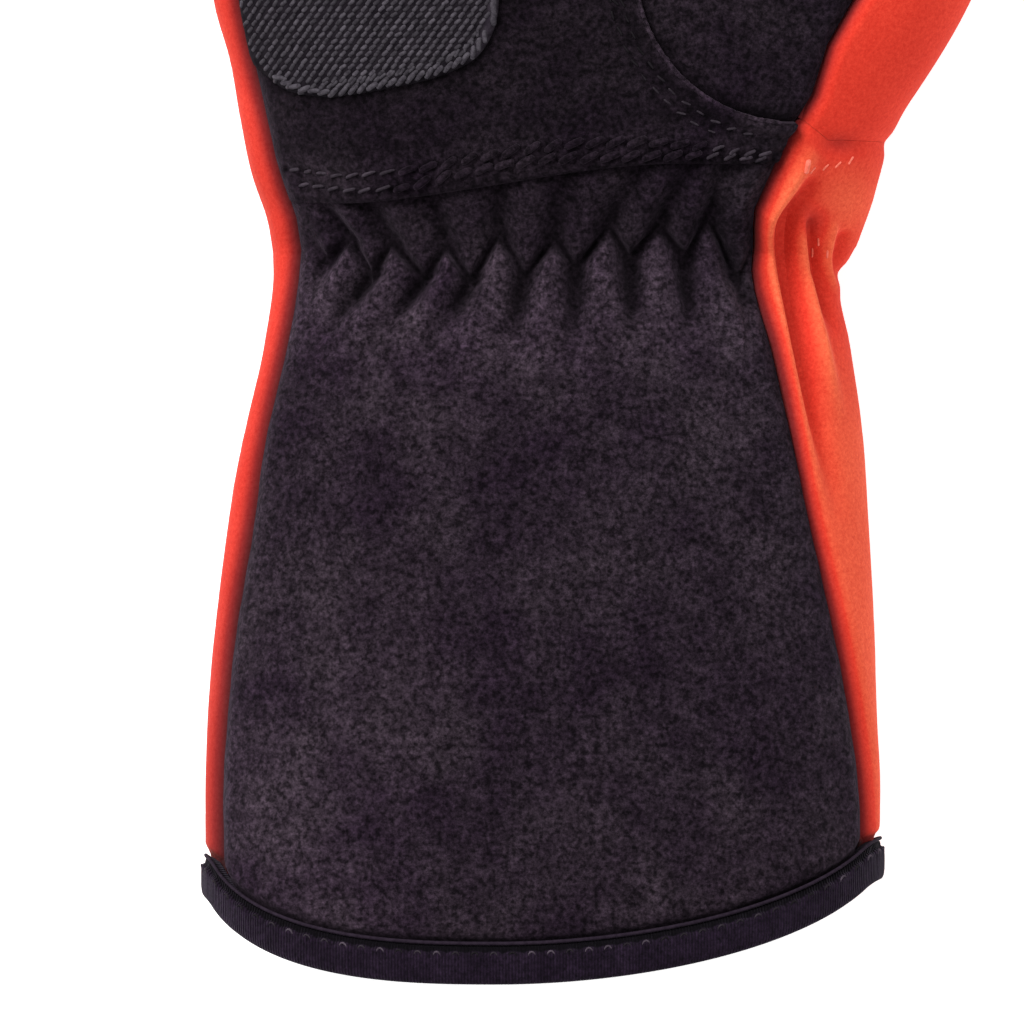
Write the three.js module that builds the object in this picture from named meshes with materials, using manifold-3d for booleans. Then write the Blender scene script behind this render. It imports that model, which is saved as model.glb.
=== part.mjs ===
// A karting glove for the right hand, lying on its back with the palm up.
// Millimetres. Fingers point along +Y, the thumb leans to +X, and z = 0 is the surface under the glove.
// The gathered wrist crosses the Y axis at y = 0, midway between its two sides.
import * as THREE from 'three';
import { mergeVertices } from 'three/addons/utils/BufferGeometryUtils.js';
import Module from 'manifold-3d';

const wasm = await Module();
wasm.setup();

// Main sizes
const cuffLength = 98; // wrist line to the lowest point of the hem
const palmLength = 100; // wrist line to the roots of the fingers
const wristWidth = 75.8;
const mouthWidth = 90.6;
const palmWidth = 96;
const wristDepth = 29;
const mouthDepth = 36;
const palmDepth = 32;
const knuckleDepth = 21;
const clothThickness = 1.6;
const seamGap = 0.3; // between pieces sewn edge to edge

// Hem
const hemRise = 16.5; // how far the sides of the mouth lie above its lowest point
const hemLowX = -8; // where the hem is lowest
const hemCurve = { // how the hem rises on each side of there, and the share of the way at which it stops
    left: { power: 2.6, ease: 0.4545, reach: 0.975 },
    right: { power: 1.9, ease: 0.544, reach: 0.985 },
};
const bindingHeight = 5.6;
const bindingProud = 0.8; // how far the binding stands out from the cloth, inside and outside
const pipingGroove = 0.9; // between the binding and the piping
const pipingHeight = 1.3;
const pipingProud = 1.1;
const mouthLift = 1.5; // the cloth leaves the surface by this much where the binding passes under it

// Seams between the black front and the red back, and the lapped edge of the palm
const thumbSideStrip = 15; // red cloth seen beside the wrist on the thumb side
const littleSideStrip = 3.2; // and on the little finger's side
const palmEdgeLow = 6.3; // the palm's edge above the wrist line, little finger's side
const palmEdgeRise = 5.1; // and how much higher it lies on the thumb side
const palmEdgeBend = { start: -0.41, span: 0.633 }; // where it rises: shares of wristWidth from the middle
const thumbSeamHeight = 14.3; // the seam across the red cloth, above the wrist line

// Gathers
const gatherDepth = 1.1; // from mean surface to the top of a fold
const gatherReachDown = 17;
const gatherReachUp = 9;

// Grip patch on the outer heel
const gripThickness = 1.1;
const gripRight = -7.7;
const gripBottom = 20.2;
const gripTop = palmLength * 0.74; // ends short of the finger roots
const gripCorner = 9;
const gripEdgeInset = 0.6; // from the patch to the side seam

// Fingers and thumb
const fingerLength = 79; // of the middle finger, from its root
const fingerWidth = 23.2;
const fingerDepth = 17.5;
const fingerOverlap = 16; // how far a finger's tube runs back into the hand
const splitHeight = 9; // the seam along the fingers' sides, above the surface
const thumbLength = 106;
const thumbHalfWidth = 23;
const thumbDepth = 31;
const thumbAngle = THREE.MathUtils.degToRad(36);
const thumbRoot = new THREE.Vector2(14, 14);
const thumbHeelWidth = 20.5; // half axes of the rounded seam at the thumb's heel
const thumbHeelHeight = 21;
const thumbHeelCentre = new THREE.Vector2(31, 38);
const thumbSeamLevel = 2; // the heel's arc runs on level for this far,
const thumbSeamBend = 5.5; // and from here on it is the seam across the red cloth

const widestShare = 0.45; // the widest line's height, as a share of the depth
const flankShare = 0.42; // the flat back is rounded off over this share of the half width
const splitRise = 0.6; // from the widest line to the lowest place of a side seam
const crownPower = 2.3; // how square the crown of the cuff and hand is
const limbPower = 0.85; // and the fingers and thumb, in section
const foldShoulder = 1.6; // a fold keeps its height until the crown has dropped to 1 / foldShoulder
const evenReach = 0.95; // away from the gathers the columns spread evenly over this share of the width
const straightShare = 0.7; // rings run straight across this far up the cuff
const leastHalfWidth = 0.6; // of a ring at a tip
const thumbTipRaise = 5;
const fingerTipDrop = 0.8; // share of a finger's narrowing by which its top comes down
const flankSteps = 3;
const backSteps = 4; // spans of the ring across the flat back
const roundSteps = 6;
const farOut = 200; // reaches past the whole glove

// Side view and front view of the cuff, from the wrist line down to the hem.
// along: share of cuffLength; left, right: share of the flare; deep: share of the gain in depth;
// strip: red cloth seen on the thumb side, share of thumbSideStrip; lift: share of mouthLift
const cuffSections = [
    { along: -1.05, left: 1.2, right: 0.68, deep: 1.0, strip: 0.08, little: 0.45, lift: 1 },
    { along: -0.9, left: 1.2, right: 0.68, deep: 1.0, strip: 0.09, little: 0.45, lift: 1 },
    { along: -0.74, left: 1.22, right: 0.72, deep: 0.97, strip: 0.14, little: 0.55, lift: 0.4 },
    { along: -0.62, left: 1.16, right: 0.66, deep: 0.9, strip: 0.22, little: 0.62, lift: 0 },
    { along: -0.5, left: 1.02, right: 0.6, deep: 0.76, strip: 0.34, little: 0.65, lift: 0 },
    { along: -0.36, left: 0.75, right: 0.49, deep: 0.55, strip: 0.52, little: 0.75, lift: 0 },
    { along: -0.24, left: 0.46, right: 0.38, deep: 0.36, strip: 0.65, little: 0.65, lift: 0 },
    { along: -0.13, left: 0.16, right: 0.18, deep: 0.18, strip: 0.74, little: 0.72, lift: 0 },
    { along: -0.05, left: 0.01, right: 0.03, deep: 0.04, strip: 0.78, little: 0.85, lift: 0 },
    { along: 0, left: 0, right: 0.2, deep: 0, strip: 0.93, little: 1, lift: 0 },
];

// The hand, from the wrist line up to the roots of the fingers.
// along: share of palmLength; left, right: share of the swell; deep: share of the gain in depth at the heel;
// thin: share of the loss in depth at the knuckles
const palmSections = [
    { along: 0, left: 0, right: 0.15, deep: 0, thin: 0, strip: 0.93, little: 1, lift: 0 },
    { along: 0.05, left: 0.09, right: 0.36, deep: 0.3, thin: 0, strip: 1, little: 1, lift: 0 },
    { along: 0.1, left: 0.26, right: 0.47, deep: 0.7, thin: 0, strip: 0.9, little: 0.98, lift: 0 },
    { along: 0.16, left: 0.38, right: 0.46, deep: 0.95, thin: 0, strip: 0.9, little: 0.96, lift: 0 },
    { along: 0.25, left: 0.54, right: 0.44, deep: 1, thin: 0, strip: 1, little: 0.8, lift: 0 },
    { along: 0.34, left: 0.77, right: 0.44, deep: 1, thin: 0.1, strip: 1, little: 1, lift: 0 },
    { along: 0.5, left: 0.96, right: 0.48, deep: 0.8, thin: 0.35, strip: 0.6, little: 1, lift: 0 },
    { along: 0.7, left: 1, right: 0.56, deep: 0.4, thin: 0.7, strip: 0.25, little: 1, lift: 0 },
    { along: 0.9, left: 0.95, right: 0.6, deep: 0, thin: 1, strip: 0.15, little: 1, lift: 0 },
    { along: 1.02, left: 0.7, right: 0.45, deep: 0, thin: 1.15, strip: 0.1, little: 1, lift: 0 },
];

// Folds gathered at the wrist line, as shares of half the glove's width from its middle.
// at: on the wrist line; low, high: where the fold dies out below and above it
const gathers = [
    { at: -0.9, low: -0.97, high: -0.95 },
    { at: -0.74, low: -0.92, high: -0.87 },
    { at: -0.58, low: -0.84, high: -0.74 },
    { at: -0.39, low: -0.68, high: -0.55 },
    { at: -0.2, low: -0.38, high: -0.32 },
    { at: -0.01, low: -0.06, high: 0 },
    { at: 0.17, low: 0.2, high: 0.27 },
    { at: 0.36, low: 0.42, high: 0.49 },
    { at: 0.53, low: 0.62, high: 0.68 },
    { at: 0.76, low: 0.84, high: 0.82 },
    { at: 0.86, low: 0.92, high: 0.9 },
    { at: 0.97, low: 0.98, high: 0.97 },
];

// Fingers. at: share of half the palm's width; long, wide: share of fingerLength and fingerWidth; lean: degrees
const fingers = [
    { name: 'index', at: 0.67, long: 0.92, wide: 1, lean: 5 },
    { name: 'middle', at: 0.2, long: 1, wide: 1, lean: 1 },
    { name: 'ring', at: -0.27, long: 0.93, wide: 0.97, lean: -4 },
    { name: 'little', at: -0.745, long: 0.74, wide: 0.9, lean: -9 },
];

// A finger from root to tip. along: share of its length; wide: share of its width; raise: share of fingerDepth
const fingerSections = [
    { along: -0.3, wide: 0.98, raise: 0.02 },
    { along: 0.1, wide: 1, raise: 0.02 },
    { along: 0.5, wide: 0.95, raise: 0.03 },
    { along: 0.8, wide: 0.88, raise: 0.06 },
    { along: 0.92, wide: 0.76, raise: 0.1 },
    { along: 0.98, wide: 0.5, raise: 0.2 },
    { along: 1, wide: 0.25, raise: 0.3 },
];

// The thumb from the heel to its tip. along: share of thumbLength; outer, inner: share of thumbHalfWidth on
// the free side and on the palm's side; deep: share of thumbDepth; seam: how far in from the free side the
// front and back meet, share of thumbSideStrip
const thumbSections = [
    { along: -0.04, outer: 0.86, inner: 0.7, deep: 0.9, seam: 1.1 },
    { along: 0.1, outer: 0.98, inner: 0.74, deep: 0.98, seam: 0.62 },
    { along: 0.23, outer: 1.01, inner: 0.74, deep: 1, seam: 0.87 },
    { along: 0.38, outer: 0.95, inner: 0.64, deep: 0.96, seam: 0.85 },
    { along: 0.54, outer: 0.73, inner: 0.54, deep: 0.84, seam: 0.5 },
    { along: 0.7, outer: 0.59, inner: 0.52, deep: 0.74, seam: 0.15 },
    { along: 0.84, outer: 0.53, inner: 0.5, deep: 0.66, seam: -0.3 },
    { along: 0.93, outer: 0.45, inner: 0.43, deep: 0.6, seam: 0 },
    { along: 0.98, outer: 0.29, inner: 0.29, deep: 0.5, seam: 0 },
    { along: 1, outer: 0.13, inner: 0.13, deep: 0.42, seam: 0 },
];

// Where the thumb's seam runs on from its heel, on the palm's side: shares of thumbLength and thumbHalfWidth
const thumbInnerSeam = [
    { along: 0.36, out: -0.75 },
    { along: 0.55, out: -0.56 },
    { along: 0.72, out: -0.56 },
    { along: 1.4, out: -0.7 },
];

// Where rings of points cross the cuff and the hand: shares of cuffLength below the wrist, palmLength above
const cuffRings = [-0.83, -0.66, -0.48, -0.32, -0.22, -0.16, -0.115, -0.08, -0.05, -0.025, -0.008];
const palmRings = [0.008, 0.03, 0.055, 0.085, 0.14, 0.2, 0.27, 0.36, 0.48, 0.62, 0.78, 0.92];

// Value of a column at a place between the rows, on a smooth curve through them
function columnAt(rows, column, along) {
    const last = rows.length - 1;
    const place = THREE.MathUtils.clamp(along, rows[0].along, rows[last].along);
    let row = 0;
    while (row < last - 1 && place > rows[row + 1].along) row += 1;
    const slope = (from, to) => (rows[to][column] - rows[from][column]) / (rows[to].along - rows[from].along);
    const startSlope = slope(Math.max(row - 1, 0), row + 1);
    const endSlope = slope(row, Math.min(row + 2, last));
    const span = rows[row + 1].along - rows[row].along;
    const t = (place - rows[row].along) / span;
    const startWeight = (1 + 2 * t) * (1 - t) ** 2;
    const endWeight = t * t * (3 - 2 * t);
    return startWeight * rows[row][column] + endWeight * rows[row + 1][column]
        + span * (t * (1 - t) ** 2 * startSlope - t * t * (1 - t) * endSlope);
}

// Sides, depth and seams of the cuff and hand at one height y
function sectionAt(y) {
    const onCuff = y < 0;
    const rows = onCuff ? cuffSections : palmSections;
    const along = y / (onCuff ? cuffLength : palmLength);
    const widening = ((onCuff ? mouthWidth : palmWidth) - wristWidth) / 2;
    const deepening = (onCuff ? mouthDepth : palmDepth) - wristDepth;
    const thinning = onCuff ? 0 : columnAt(rows, 'thin', along) * (wristDepth - knuckleDepth);
    return {
        left: -wristWidth / 2 - widening * columnAt(rows, 'left', along),
        right: wristWidth / 2 + widening * columnAt(rows, 'right', along),
        top: wristDepth + deepening * columnAt(rows, 'deep', along) - thinning,
        bottom: mouthLift * Math.max(columnAt(rows, 'lift', along), 0),
        thumbStrip: thumbSideStrip * columnAt(rows, 'strip', along),
        littleStrip: littleSideStrip * columnAt(rows, 'little', along),
    };
}

function smoothStep(value) {
    const t = THREE.MathUtils.clamp(value, 0, 1);
    return t * t * (3 - 2 * t);
}

// How far the mouth's edge lies above its lowest point, across the glove
function hemRiseAt(x) {
    const onLeft = x < hemLowX;
    const side = onLeft ? hemCurve.left : hemCurve.right;
    const span = onLeft ? mouthWidth / 2 + 2 + hemLowX : mouthWidth / 2 - 2 - hemLowX;
    const share = Math.min(Math.abs(x - hemLowX) / span, side.reach);
    return hemRise * (1 - (1 - share ** side.power) ** side.ease);
}

// Rings run parallel to the curved hem near the mouth and straight across at the wrist
function ringHeight(level, x) {
    const fromMouth = level + cuffLength;
    const straight = smoothStep((fromMouth - bindingHeight * 2) / (cuffLength * straightShare));
    return level + hemRiseAt(x) * (1 - straight);
}

// Where the columns of points stand across the front, and their fold's height: folds alternate with
// valleys, and above the wrist line they change places
function gatherColumns(level) {
    const below = level < 0;
    const reach = below ? gatherReachDown : gatherReachUp;
    const run = Math.min(Math.abs(level) / reach, 1);
    const beyond = smoothStep((Math.abs(level) / reach - 1) / 2);
    const fade = (below ? 1 : -1) * gatherDepth * (1 - run);
    const folds = gathers.map((fold) => THREE.MathUtils.lerp(fold.at, below ? fold.low : fold.high, run));
    const columns = [];
    folds.forEach((place, index) => {
        columns.push({ across: place, fold: fade });
        if (index < folds.length - 1) columns.push({ across: (place + folds[index + 1]) / 2, fold: -fade });
    });
    columns.forEach((column, index) => {
        const even = ((2 * index) / (columns.length - 1) - 1) * evenReach;
        column.across = THREE.MathUtils.lerp(column.across, even, beyond);
    });
    const side = [{ across: 0.992, fold: 0 }, { across: 1, fold: 0 }];
    const otherSide = side.map((column) => ({ across: -column.across, fold: 0 })).reverse();
    return [...otherSide, ...columns, ...side];
}

// A ring round the cuff or hand: the front from the little finger's side to the thumb's, then the flat back
function handRing(level, grow) {
    const place = (across, inset, rise) => {
        let point = new THREE.Vector3(0, level, 0);
        for (let pass = 0; pass < 3; pass += 1) {
            const section = sectionAt(point.y);
            const centre = (section.left + section.right) / 2;
            const half = (section.right - section.left) / 2;
            const low = section.bottom - grow;
            const high = section.top + grow;
            const widest = low + (high - low) * widestShare;
            const share = across * (1 - inset * flankShare);
            const y = ringHeight(level, centre + share * half);
            const z = widest + (rise > 0 ? rise * (high - widest) : rise * (widest - low));
            point = new THREE.Vector3(centre + share * (half + grow), y, z);
        }
        return point;
    };
    const ring = gatherColumns(level).map(({ across, fold }) => {
        const crown = Math.sqrt(Math.max(1 - Math.abs(across) ** crownPower, 0));
        const point = place(across, 0, crown);
        point.z += fold * Math.min(crown * foldShoulder, 1);
        return point;
    });
    for (let step = 1; step <= flankSteps; step += 1) {
        const turn = (step / flankSteps) * (Math.PI / 2);
        ring.push(place(1, 1 - Math.cos(turn), -Math.sin(turn)));
    }
    for (let step = 1; step < backSteps; step += 1) {
        ring.push(place(1 - (2 * step) / backSteps, 1, -1));
    }
    for (let step = flankSteps; step >= 1; step -= 1) {
        const turn = (step / flankSteps) * (Math.PI / 2);
        ring.push(place(-1, 1 - Math.cos(turn), -Math.sin(turn)));
    }
    return ring;
}

// A rounded ring square to an axis in plan, flattened where it lies on the surface
function limbRing(centre, axis, outer, inner, low, high) {
    const ring = [];
    const middle = (low + high) / 2;
    const count = roundSteps * 2;
    for (let step = 0; step < count; step += 1) {
        const turn = (-step / count) * 2 * Math.PI;
        const across = Math.sign(Math.cos(turn)) * Math.abs(Math.cos(turn)) ** limbPower;
        const up = Math.sign(Math.sin(turn)) * Math.abs(Math.sin(turn)) ** limbPower;
        const reach = across * (across > 0 ? outer : inner);
        const x = centre.x + axis.y * reach;
        const y = centre.y - axis.x * reach;
        ring.push(new THREE.Vector3(x, y, middle + (up * (high - low)) / 2));
    }
    return ring;
}

// Turns a closed geometry into a solid that can be joined and cut
function solidOf(geometry) {
    const bare = geometry.clone();
    bare.deleteAttribute('normal');
    bare.deleteAttribute('uv');
    const merged = mergeVertices(bare, 1e-4);
    const mesh = new wasm.Mesh({
        numProp: 3,
        vertProperties: new Float32Array(merged.attributes.position.array),
        triVerts: new Uint32Array(merged.index.array),
    });
    return new wasm.Manifold(mesh);
}

// Triangles across a ring from the front chain of points to the back chain, from one side to the other
function ribbedCap(ring, frontCount) {
    const faces = [];
    let upper = 0;
    let lower = ring.length - 1;
    while (upper < frontCount - 1 || lower > frontCount) {
        const lastLower = lower === frontCount;
        const lastUpper = upper === frontCount - 1;
        if (lastLower || (!lastUpper && ring[upper + 1].x < ring[lower - 1].x)) {
            faces.push([upper, upper + 1, lower]);
            upper += 1;
        } else {
            faces.push([upper, lower - 1, lower]);
            lower -= 1;
        }
    }
    return faces;
}

// A solid skin through rings with equal counts of points, closed across each end. The front chain of a ring
// is joined to its back chain; without a count of front points the end is a fan
function loftOf(rings, frontCount = 0) {
    const count = rings[0].length;
    const points = rings.flat();
    const faces = [];
    for (let ring = 0; ring < rings.length - 1; ring += 1) {
        for (let step = 0; step < count; step += 1) {
            const a = ring * count + step;
            const b = ring * count + ((step + 1) % count);
            faces.push(a, b, b + count, a, b + count, a + count);
        }
    }
    [0, rings.length - 1].forEach((ring) => {
        let cap = [];
        if (frontCount > 0) {
            cap = ribbedCap(rings[ring], frontCount).map((face) => face.map((step) => ring * count + step));
        } else {
            const centre = new THREE.Vector3();
            rings[ring].forEach((point) => centre.addScaledVector(point, 1 / count));
            const hub = points.push(centre) - 1;
            cap = rings[ring].map((_, step) => [ring * count + step, ring * count + ((step + 1) % count), hub]);
        }
        cap.forEach(([a, b, c]) => faces.push(...(ring === 0 ? [b, a, c] : [a, b, c])));
    });
    const geometry = new THREE.BufferGeometry();
    geometry.setAttribute('position', new THREE.Float32BufferAttribute(points.flatMap((p) => [p.x, p.y, p.z]), 3));
    geometry.setIndex(faces);
    return solidOf(geometry);
}

// The cuff and hand as one full solid between two levels, its surface moved out by grow
function handSolid(grow, start = -cuffLength, end = palmLength) {
    const levels = [
        ...cuffRings.map((share) => share * cuffLength),
        ...palmRings.map((share) => share * palmLength),
    ];
    const between = levels.filter((level) => level > start + 1 && level < end - 1);
    const frontCount = gatherColumns(start).length;
    return loftOf([start, ...between, end].map((level) => handRing(level, grow)), frontCount);
}

function fingerSolid(finger, grow) {
    const lean = THREE.MathUtils.degToRad(finger.lean);
    const axis = new THREE.Vector2(Math.sin(lean), Math.cos(lean));
    const length = fingerLength * finger.long;
    const root = new THREE.Vector2((finger.at * palmWidth) / 2, palmLength);
    const width = fingerWidth * finger.wide;
    const rings = fingerSections.map((row, index) => {
        const first = index === 0;
        const reach = first ? grow - fingerOverlap : row.along * length + (row.along > 0.9 ? grow : 0);
        const centre = root.clone().addScaledVector(axis, reach);
        const half = Math.max((width * row.wide) / 2 + grow, leastHalfWidth);
        const low = fingerDepth * row.raise;
        const high = fingerDepth * (1 - (1 - row.wide) * fingerTipDrop);
        const crush = Math.min(grow, (high - low) / 2);
        return limbRing(centre, axis, half, half, low - crush, Math.max(high + grow, low - crush + 1));
    });
    return loftOf(rings);
}

const thumbAxis = new THREE.Vector2(Math.sin(thumbAngle), Math.cos(thumbAngle));

function thumbSolid(grow) {
    const rings = thumbSections.map((row) => {
        const atTip = row.along > 0.9;
        const reach = row.along * thumbLength + (atTip ? grow : 0);
        const centre = thumbRoot.clone().addScaledVector(thumbAxis, reach);
        const outer = Math.max(row.outer * thumbHalfWidth + grow, leastHalfWidth);
        const inner = Math.max(row.inner * thumbHalfWidth + grow, leastHalfWidth);
        const low = atTip ? (1 - row.outer) * thumbTipRaise : 0;
        return limbRing(centre, thumbAxis, outer, inner, low - grow, row.deep * thumbDepth + grow);
    });
    return loftOf(rings);
}

// Everything inside an outline in plan, from one height up to another
function prism(outline, low, high) {
    const geometry = new THREE.ExtrudeGeometry(new THREE.Shape(outline), { depth: high - low, bevelEnabled: false });
    geometry.translate(0, 0, low);
    return solidOf(geometry);
}

// The edge of the palm that laps over the gathered cuff
function palmEdgeAt(x) {
    const share = (x / wristWidth - palmEdgeBend.start) / palmEdgeBend.span;
    return palmEdgeLow + palmEdgeRise * smoothStep(share);
}

// Everything on the finger side of a line y = height(x)
function above(height, shift) {
    const outline = [];
    const steps = 24;
    const reach = mouthWidth * 0.6;
    for (let step = 0; step <= steps; step += 1) {
        const x = -reach + (2 * reach * step) / steps;
        outline.push(new THREE.Vector2(x, height(x) + shift));
    }
    outline[0].x = -farOut;
    outline[steps].x = farOut;
    outline.push(new THREE.Vector2(farOut, farOut + palmLength), new THREE.Vector2(-farOut, farOut + palmLength));
    return prism(outline, -farOut, farOut);
}

// A place on the thumb, from a share of its length and a distance out from its axis
function thumbPlace(along, out) {
    return thumbRoot.clone().addScaledVector(thumbAxis, along * thumbLength)
        .add(new THREE.Vector2(thumbAxis.y * out, -thumbAxis.x * out));
}

// Where the side seams run, seen from the side: just above the widest line, and halfway up the fingers
function sideSplit(shift) {
    const levels = [-1, -0.6, -0.3, 0].map((share) => share * cuffLength);
    levels.push(...[0.3, 0.6, 0.9].map((share) => share * palmLength));
    const outline = levels.map((y) => {
        const section = sectionAt(y);
        const widest = section.bottom + (section.top - section.bottom) * widestShare;
        return new THREE.Vector2(y, widest + splitRise + shift);
    });
    outline[0].x = -farOut;
    outline.push(new THREE.Vector2(palmLength, splitHeight + shift), new THREE.Vector2(farOut * 2, splitHeight + shift));
    outline.push(new THREE.Vector2(farOut * 2, farOut), new THREE.Vector2(-farOut, farOut));
    const geometry = new THREE.ExtrudeGeometry(new THREE.Shape(outline), { depth: farOut * 2, bevelEnabled: false });
    geometry.rotateX(Math.PI / 2);
    geometry.rotateZ(Math.PI / 2);
    geometry.translate(-farOut, 0, 0);
    return solidOf(geometry);
}

// The front of the glove: all that lies between the two side seams, above the flat back
function frontRegion(shift) {
    const outline = [];
    const levels = [-farOut, ...[-1, ...cuffRings].map((share) => share * cuffLength),
        ...palmRings.map((share) => share * palmLength)];
    outline.push(new THREE.Vector2(-farOut, farOut * 2), new THREE.Vector2(-farOut, palmLength));
    levels.slice().reverse().forEach((y) => {
        const section = sectionAt(y);
        outline.push(new THREE.Vector2(section.left + section.littleStrip + shift, y));
    });
    levels.filter((y) => y < thumbRoot.y).forEach((y) => {
        const section = sectionAt(y);
        outline.push(new THREE.Vector2(section.right - section.thumbStrip - shift, y));
    });
    thumbSections.filter((row) => row.along > 0 && row.along < 0.9).forEach((row) => {
        outline.push(thumbPlace(row.along, row.outer * thumbHalfWidth - row.seam * thumbSideStrip - shift));
    });
    outline.push(new THREE.Vector2(farOut, farOut), new THREE.Vector2(farOut, farOut * 2));
    return prism(outline, 0, farOut).intersect(sideSplit(shift));
}

// The thumb and its heel, inside the rounded seam
function thumbRegion(shift) {
    const outline = [];
    const arcSteps = 12;
    const seamHeight = thumbSeamHeight + shift;
    const heelBottom = thumbHeelCentre.y - thumbHeelHeight + shift;
    outline.push(new THREE.Vector2(farOut, seamHeight));
    outline.push(new THREE.Vector2(thumbHeelCentre.x + thumbSeamBend + shift, seamHeight));
    outline.push(new THREE.Vector2(thumbHeelCentre.x + thumbSeamLevel + shift, heelBottom));
    for (let step = 0; step <= arcSteps; step += 1) {
        const turn = ((step / arcSteps) * Math.PI) / 2;
        outline.push(new THREE.Vector2(
            thumbHeelCentre.x - (thumbHeelWidth - shift) * Math.sin(turn),
            thumbHeelCentre.y - (thumbHeelHeight - shift) * Math.cos(turn),
        ));
    }
    thumbInnerSeam.forEach(({ along, out }) => {
        outline.push(thumbPlace(along, out * thumbHalfWidth + shift));
    });
    outline.push(new THREE.Vector2(farOut, farOut));
    return prism(outline, -farOut, farOut);
}

// One finger past its root, up to the lines midway to its neighbours
function fingerRegion(index, shift) {
    const finger = fingers[index];
    const side = (other) => {
        if (!other) return null;
        const lean = THREE.MathUtils.degToRad((finger.lean + other.lean) / 2);
        return { x: ((finger.at + other.at) / 4) * palmWidth, lean: Math.tan(lean) };
    };
    const right = side(fingers[index - 1]) ?? { x: palmWidth * 0.6, lean: 0.2 };
    const left = side(fingers[index + 1]) ?? { x: -palmWidth * 0.6, lean: -0.2 };
    const start = palmLength + shift;
    const end = palmLength + fingerLength * 1.3;
    return prism([
        new THREE.Vector2(left.x + shift, start),
        new THREE.Vector2(right.x - shift, start),
        new THREE.Vector2(right.x - shift + right.lean * (end - start), end),
        new THREE.Vector2(left.x + shift + left.lean * (end - start), end),
    ], -farOut, farOut);
}

// The grip patch in plan: a rounded corner toward the palm, the side seam along its outer edge
function gripOutline() {
    const shape = new THREE.Shape();
    const seam = (y) => {
        const section = sectionAt(y);
        return section.left + section.littleStrip + gripEdgeInset;
    };
    const sideLow = gripBottom + gripCorner * 0.5;
    shape.moveTo(gripRight, gripTop - gripCorner);
    shape.lineTo(gripRight, gripBottom + gripCorner * 1.2);
    shape.quadraticCurveTo(gripRight, gripBottom + gripCorner * 0.35, gripRight - gripCorner, gripBottom + gripCorner * 0.3);
    shape.lineTo(gripRight - gripCorner * 2.5, gripBottom);
    shape.quadraticCurveTo(seam(sideLow) + gripCorner * 0.4, gripBottom, seam(sideLow), sideLow);
    const rise = gripTop - gripCorner - sideLow;
    for (let step = 1; step <= 6; step += 1) {
        const y = sideLow + (rise * step) / 6;
        shape.lineTo(seam(y), y);
    }
    shape.quadraticCurveTo(seam(gripTop), gripTop, seam(gripTop) + gripCorner, gripTop);
    shape.lineTo(gripRight - gripCorner, gripTop);
    shape.quadraticCurveTo(gripRight, gripTop, gripRight, gripTop - gripCorner);
    return shape.getPoints(4);
}

function joined(solids) {
    return solids.reduce((whole, solid) => whole.add(solid));
}

const halfGap = seamGap / 2;
const clothStart = bindingHeight + halfGap - cuffLength;
const gloveOutside = joined([
    handSolid(0, clothStart),
    thumbSolid(0),
    ...fingers.map((finger) => fingerSolid(finger, 0)),
]);
const gloveInside = joined([
    handSolid(-clothThickness, clothStart - bindingHeight / 2, palmLength - clothThickness),
    thumbSolid(-clothThickness),
    ...fingers.map((finger) => fingerSolid(finger, -clothThickness)),
]);
const cloth = gloveOutside.subtract(gloveInside);
const front = cloth.intersect(frontRegion(halfGap));
const back = cloth.subtract(frontRegion(-halfGap));
const fingerRoots = above(() => palmLength, -halfGap);
const frontHand = front.subtract(fingerRoots).subtract(thumbRegion(-halfGap));
const backHand = back.subtract(fingerRoots).subtract(thumbRegion(-halfGap));

const black = { color: 0x2a222b, roughness: 0.95, metalness: 0 };
const red = { color: 0xdd4430, roughness: 0.8, metalness: 0 };
const ribbed = { color: 0x211a24, roughness: 0.9, metalness: 0 };
const woven = { color: 0x3d383f, roughness: 0.85, metalness: 0 };
const glove = new THREE.Group();

// Adds a solid to the glove as a named mesh
function addPiece(name, solid, finish) {
    const mesh = solid.getMesh();
    const geometry = new THREE.BufferGeometry();
    geometry.setAttribute('position', new THREE.Float32BufferAttribute(mesh.vertProperties, 3));
    geometry.setIndex(new THREE.Uint32BufferAttribute(mesh.triVerts, 1));
    geometry.computeVertexNormals();
    const piece = new THREE.Mesh(geometry, new THREE.MeshStandardMaterial(finish));
    piece.name = name;
    glove.add(piece);
}

// Cuff, palm and back of the hand
addPiece('cuff_front', frontHand.subtract(above(palmEdgeAt, -halfGap)), black);
addPiece('palm_panel', frontHand.intersect(above(palmEdgeAt, halfGap)), black);
addPiece('back_panel', backHand, red);

// Thumb
const thumbOnly = thumbRegion(halfGap).subtract(fingerRegion(0, -halfGap));
addPiece('thumb_front', front.intersect(thumbOnly), black);
addPiece('thumb_back', back.intersect(thumbOnly), red);

// Fingers
fingers.forEach((finger, index) => {
    const region = fingerRegion(index, halfGap);
    addPiece(`${finger.name}_front`, front.intersect(region), black);
    addPiece(`${finger.name}_back`, back.intersect(region), red);
});

// Grip patch, laid on the palm
const gripSkin = handSolid(seamGap + gripThickness).subtract(handSolid(seamGap));
addPiece('grip_patch', gripSkin.intersect(prism(gripOutline(), splitHeight, farOut)), woven);

// Knit binding round the mouth, and the piping above it
const bindingEnd = bindingHeight - halfGap - cuffLength;
const pipingStart = bindingHeight + pipingGroove - cuffLength;
const pipingEnd = pipingStart + pipingHeight;
const bindingInside = handSolid(-clothThickness - bindingProud, -cuffLength - bindingHeight, clothStart);
addPiece('hem_binding', handSolid(bindingProud, -cuffLength, bindingEnd).subtract(bindingInside), ribbed);
const underPiping = handSolid(seamGap, pipingStart - pipingHeight, pipingEnd + pipingHeight);
addPiece('hem_piping', handSolid(pipingProud, pipingStart, pipingEnd).subtract(underPiping), ribbed);

export default glove;
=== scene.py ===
# A karting glove for the right hand, lying on its back on a plain pale surface, palm up.
# Lengths are millimetres until a mesh is made; Blender objects are in metres.
import math

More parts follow.
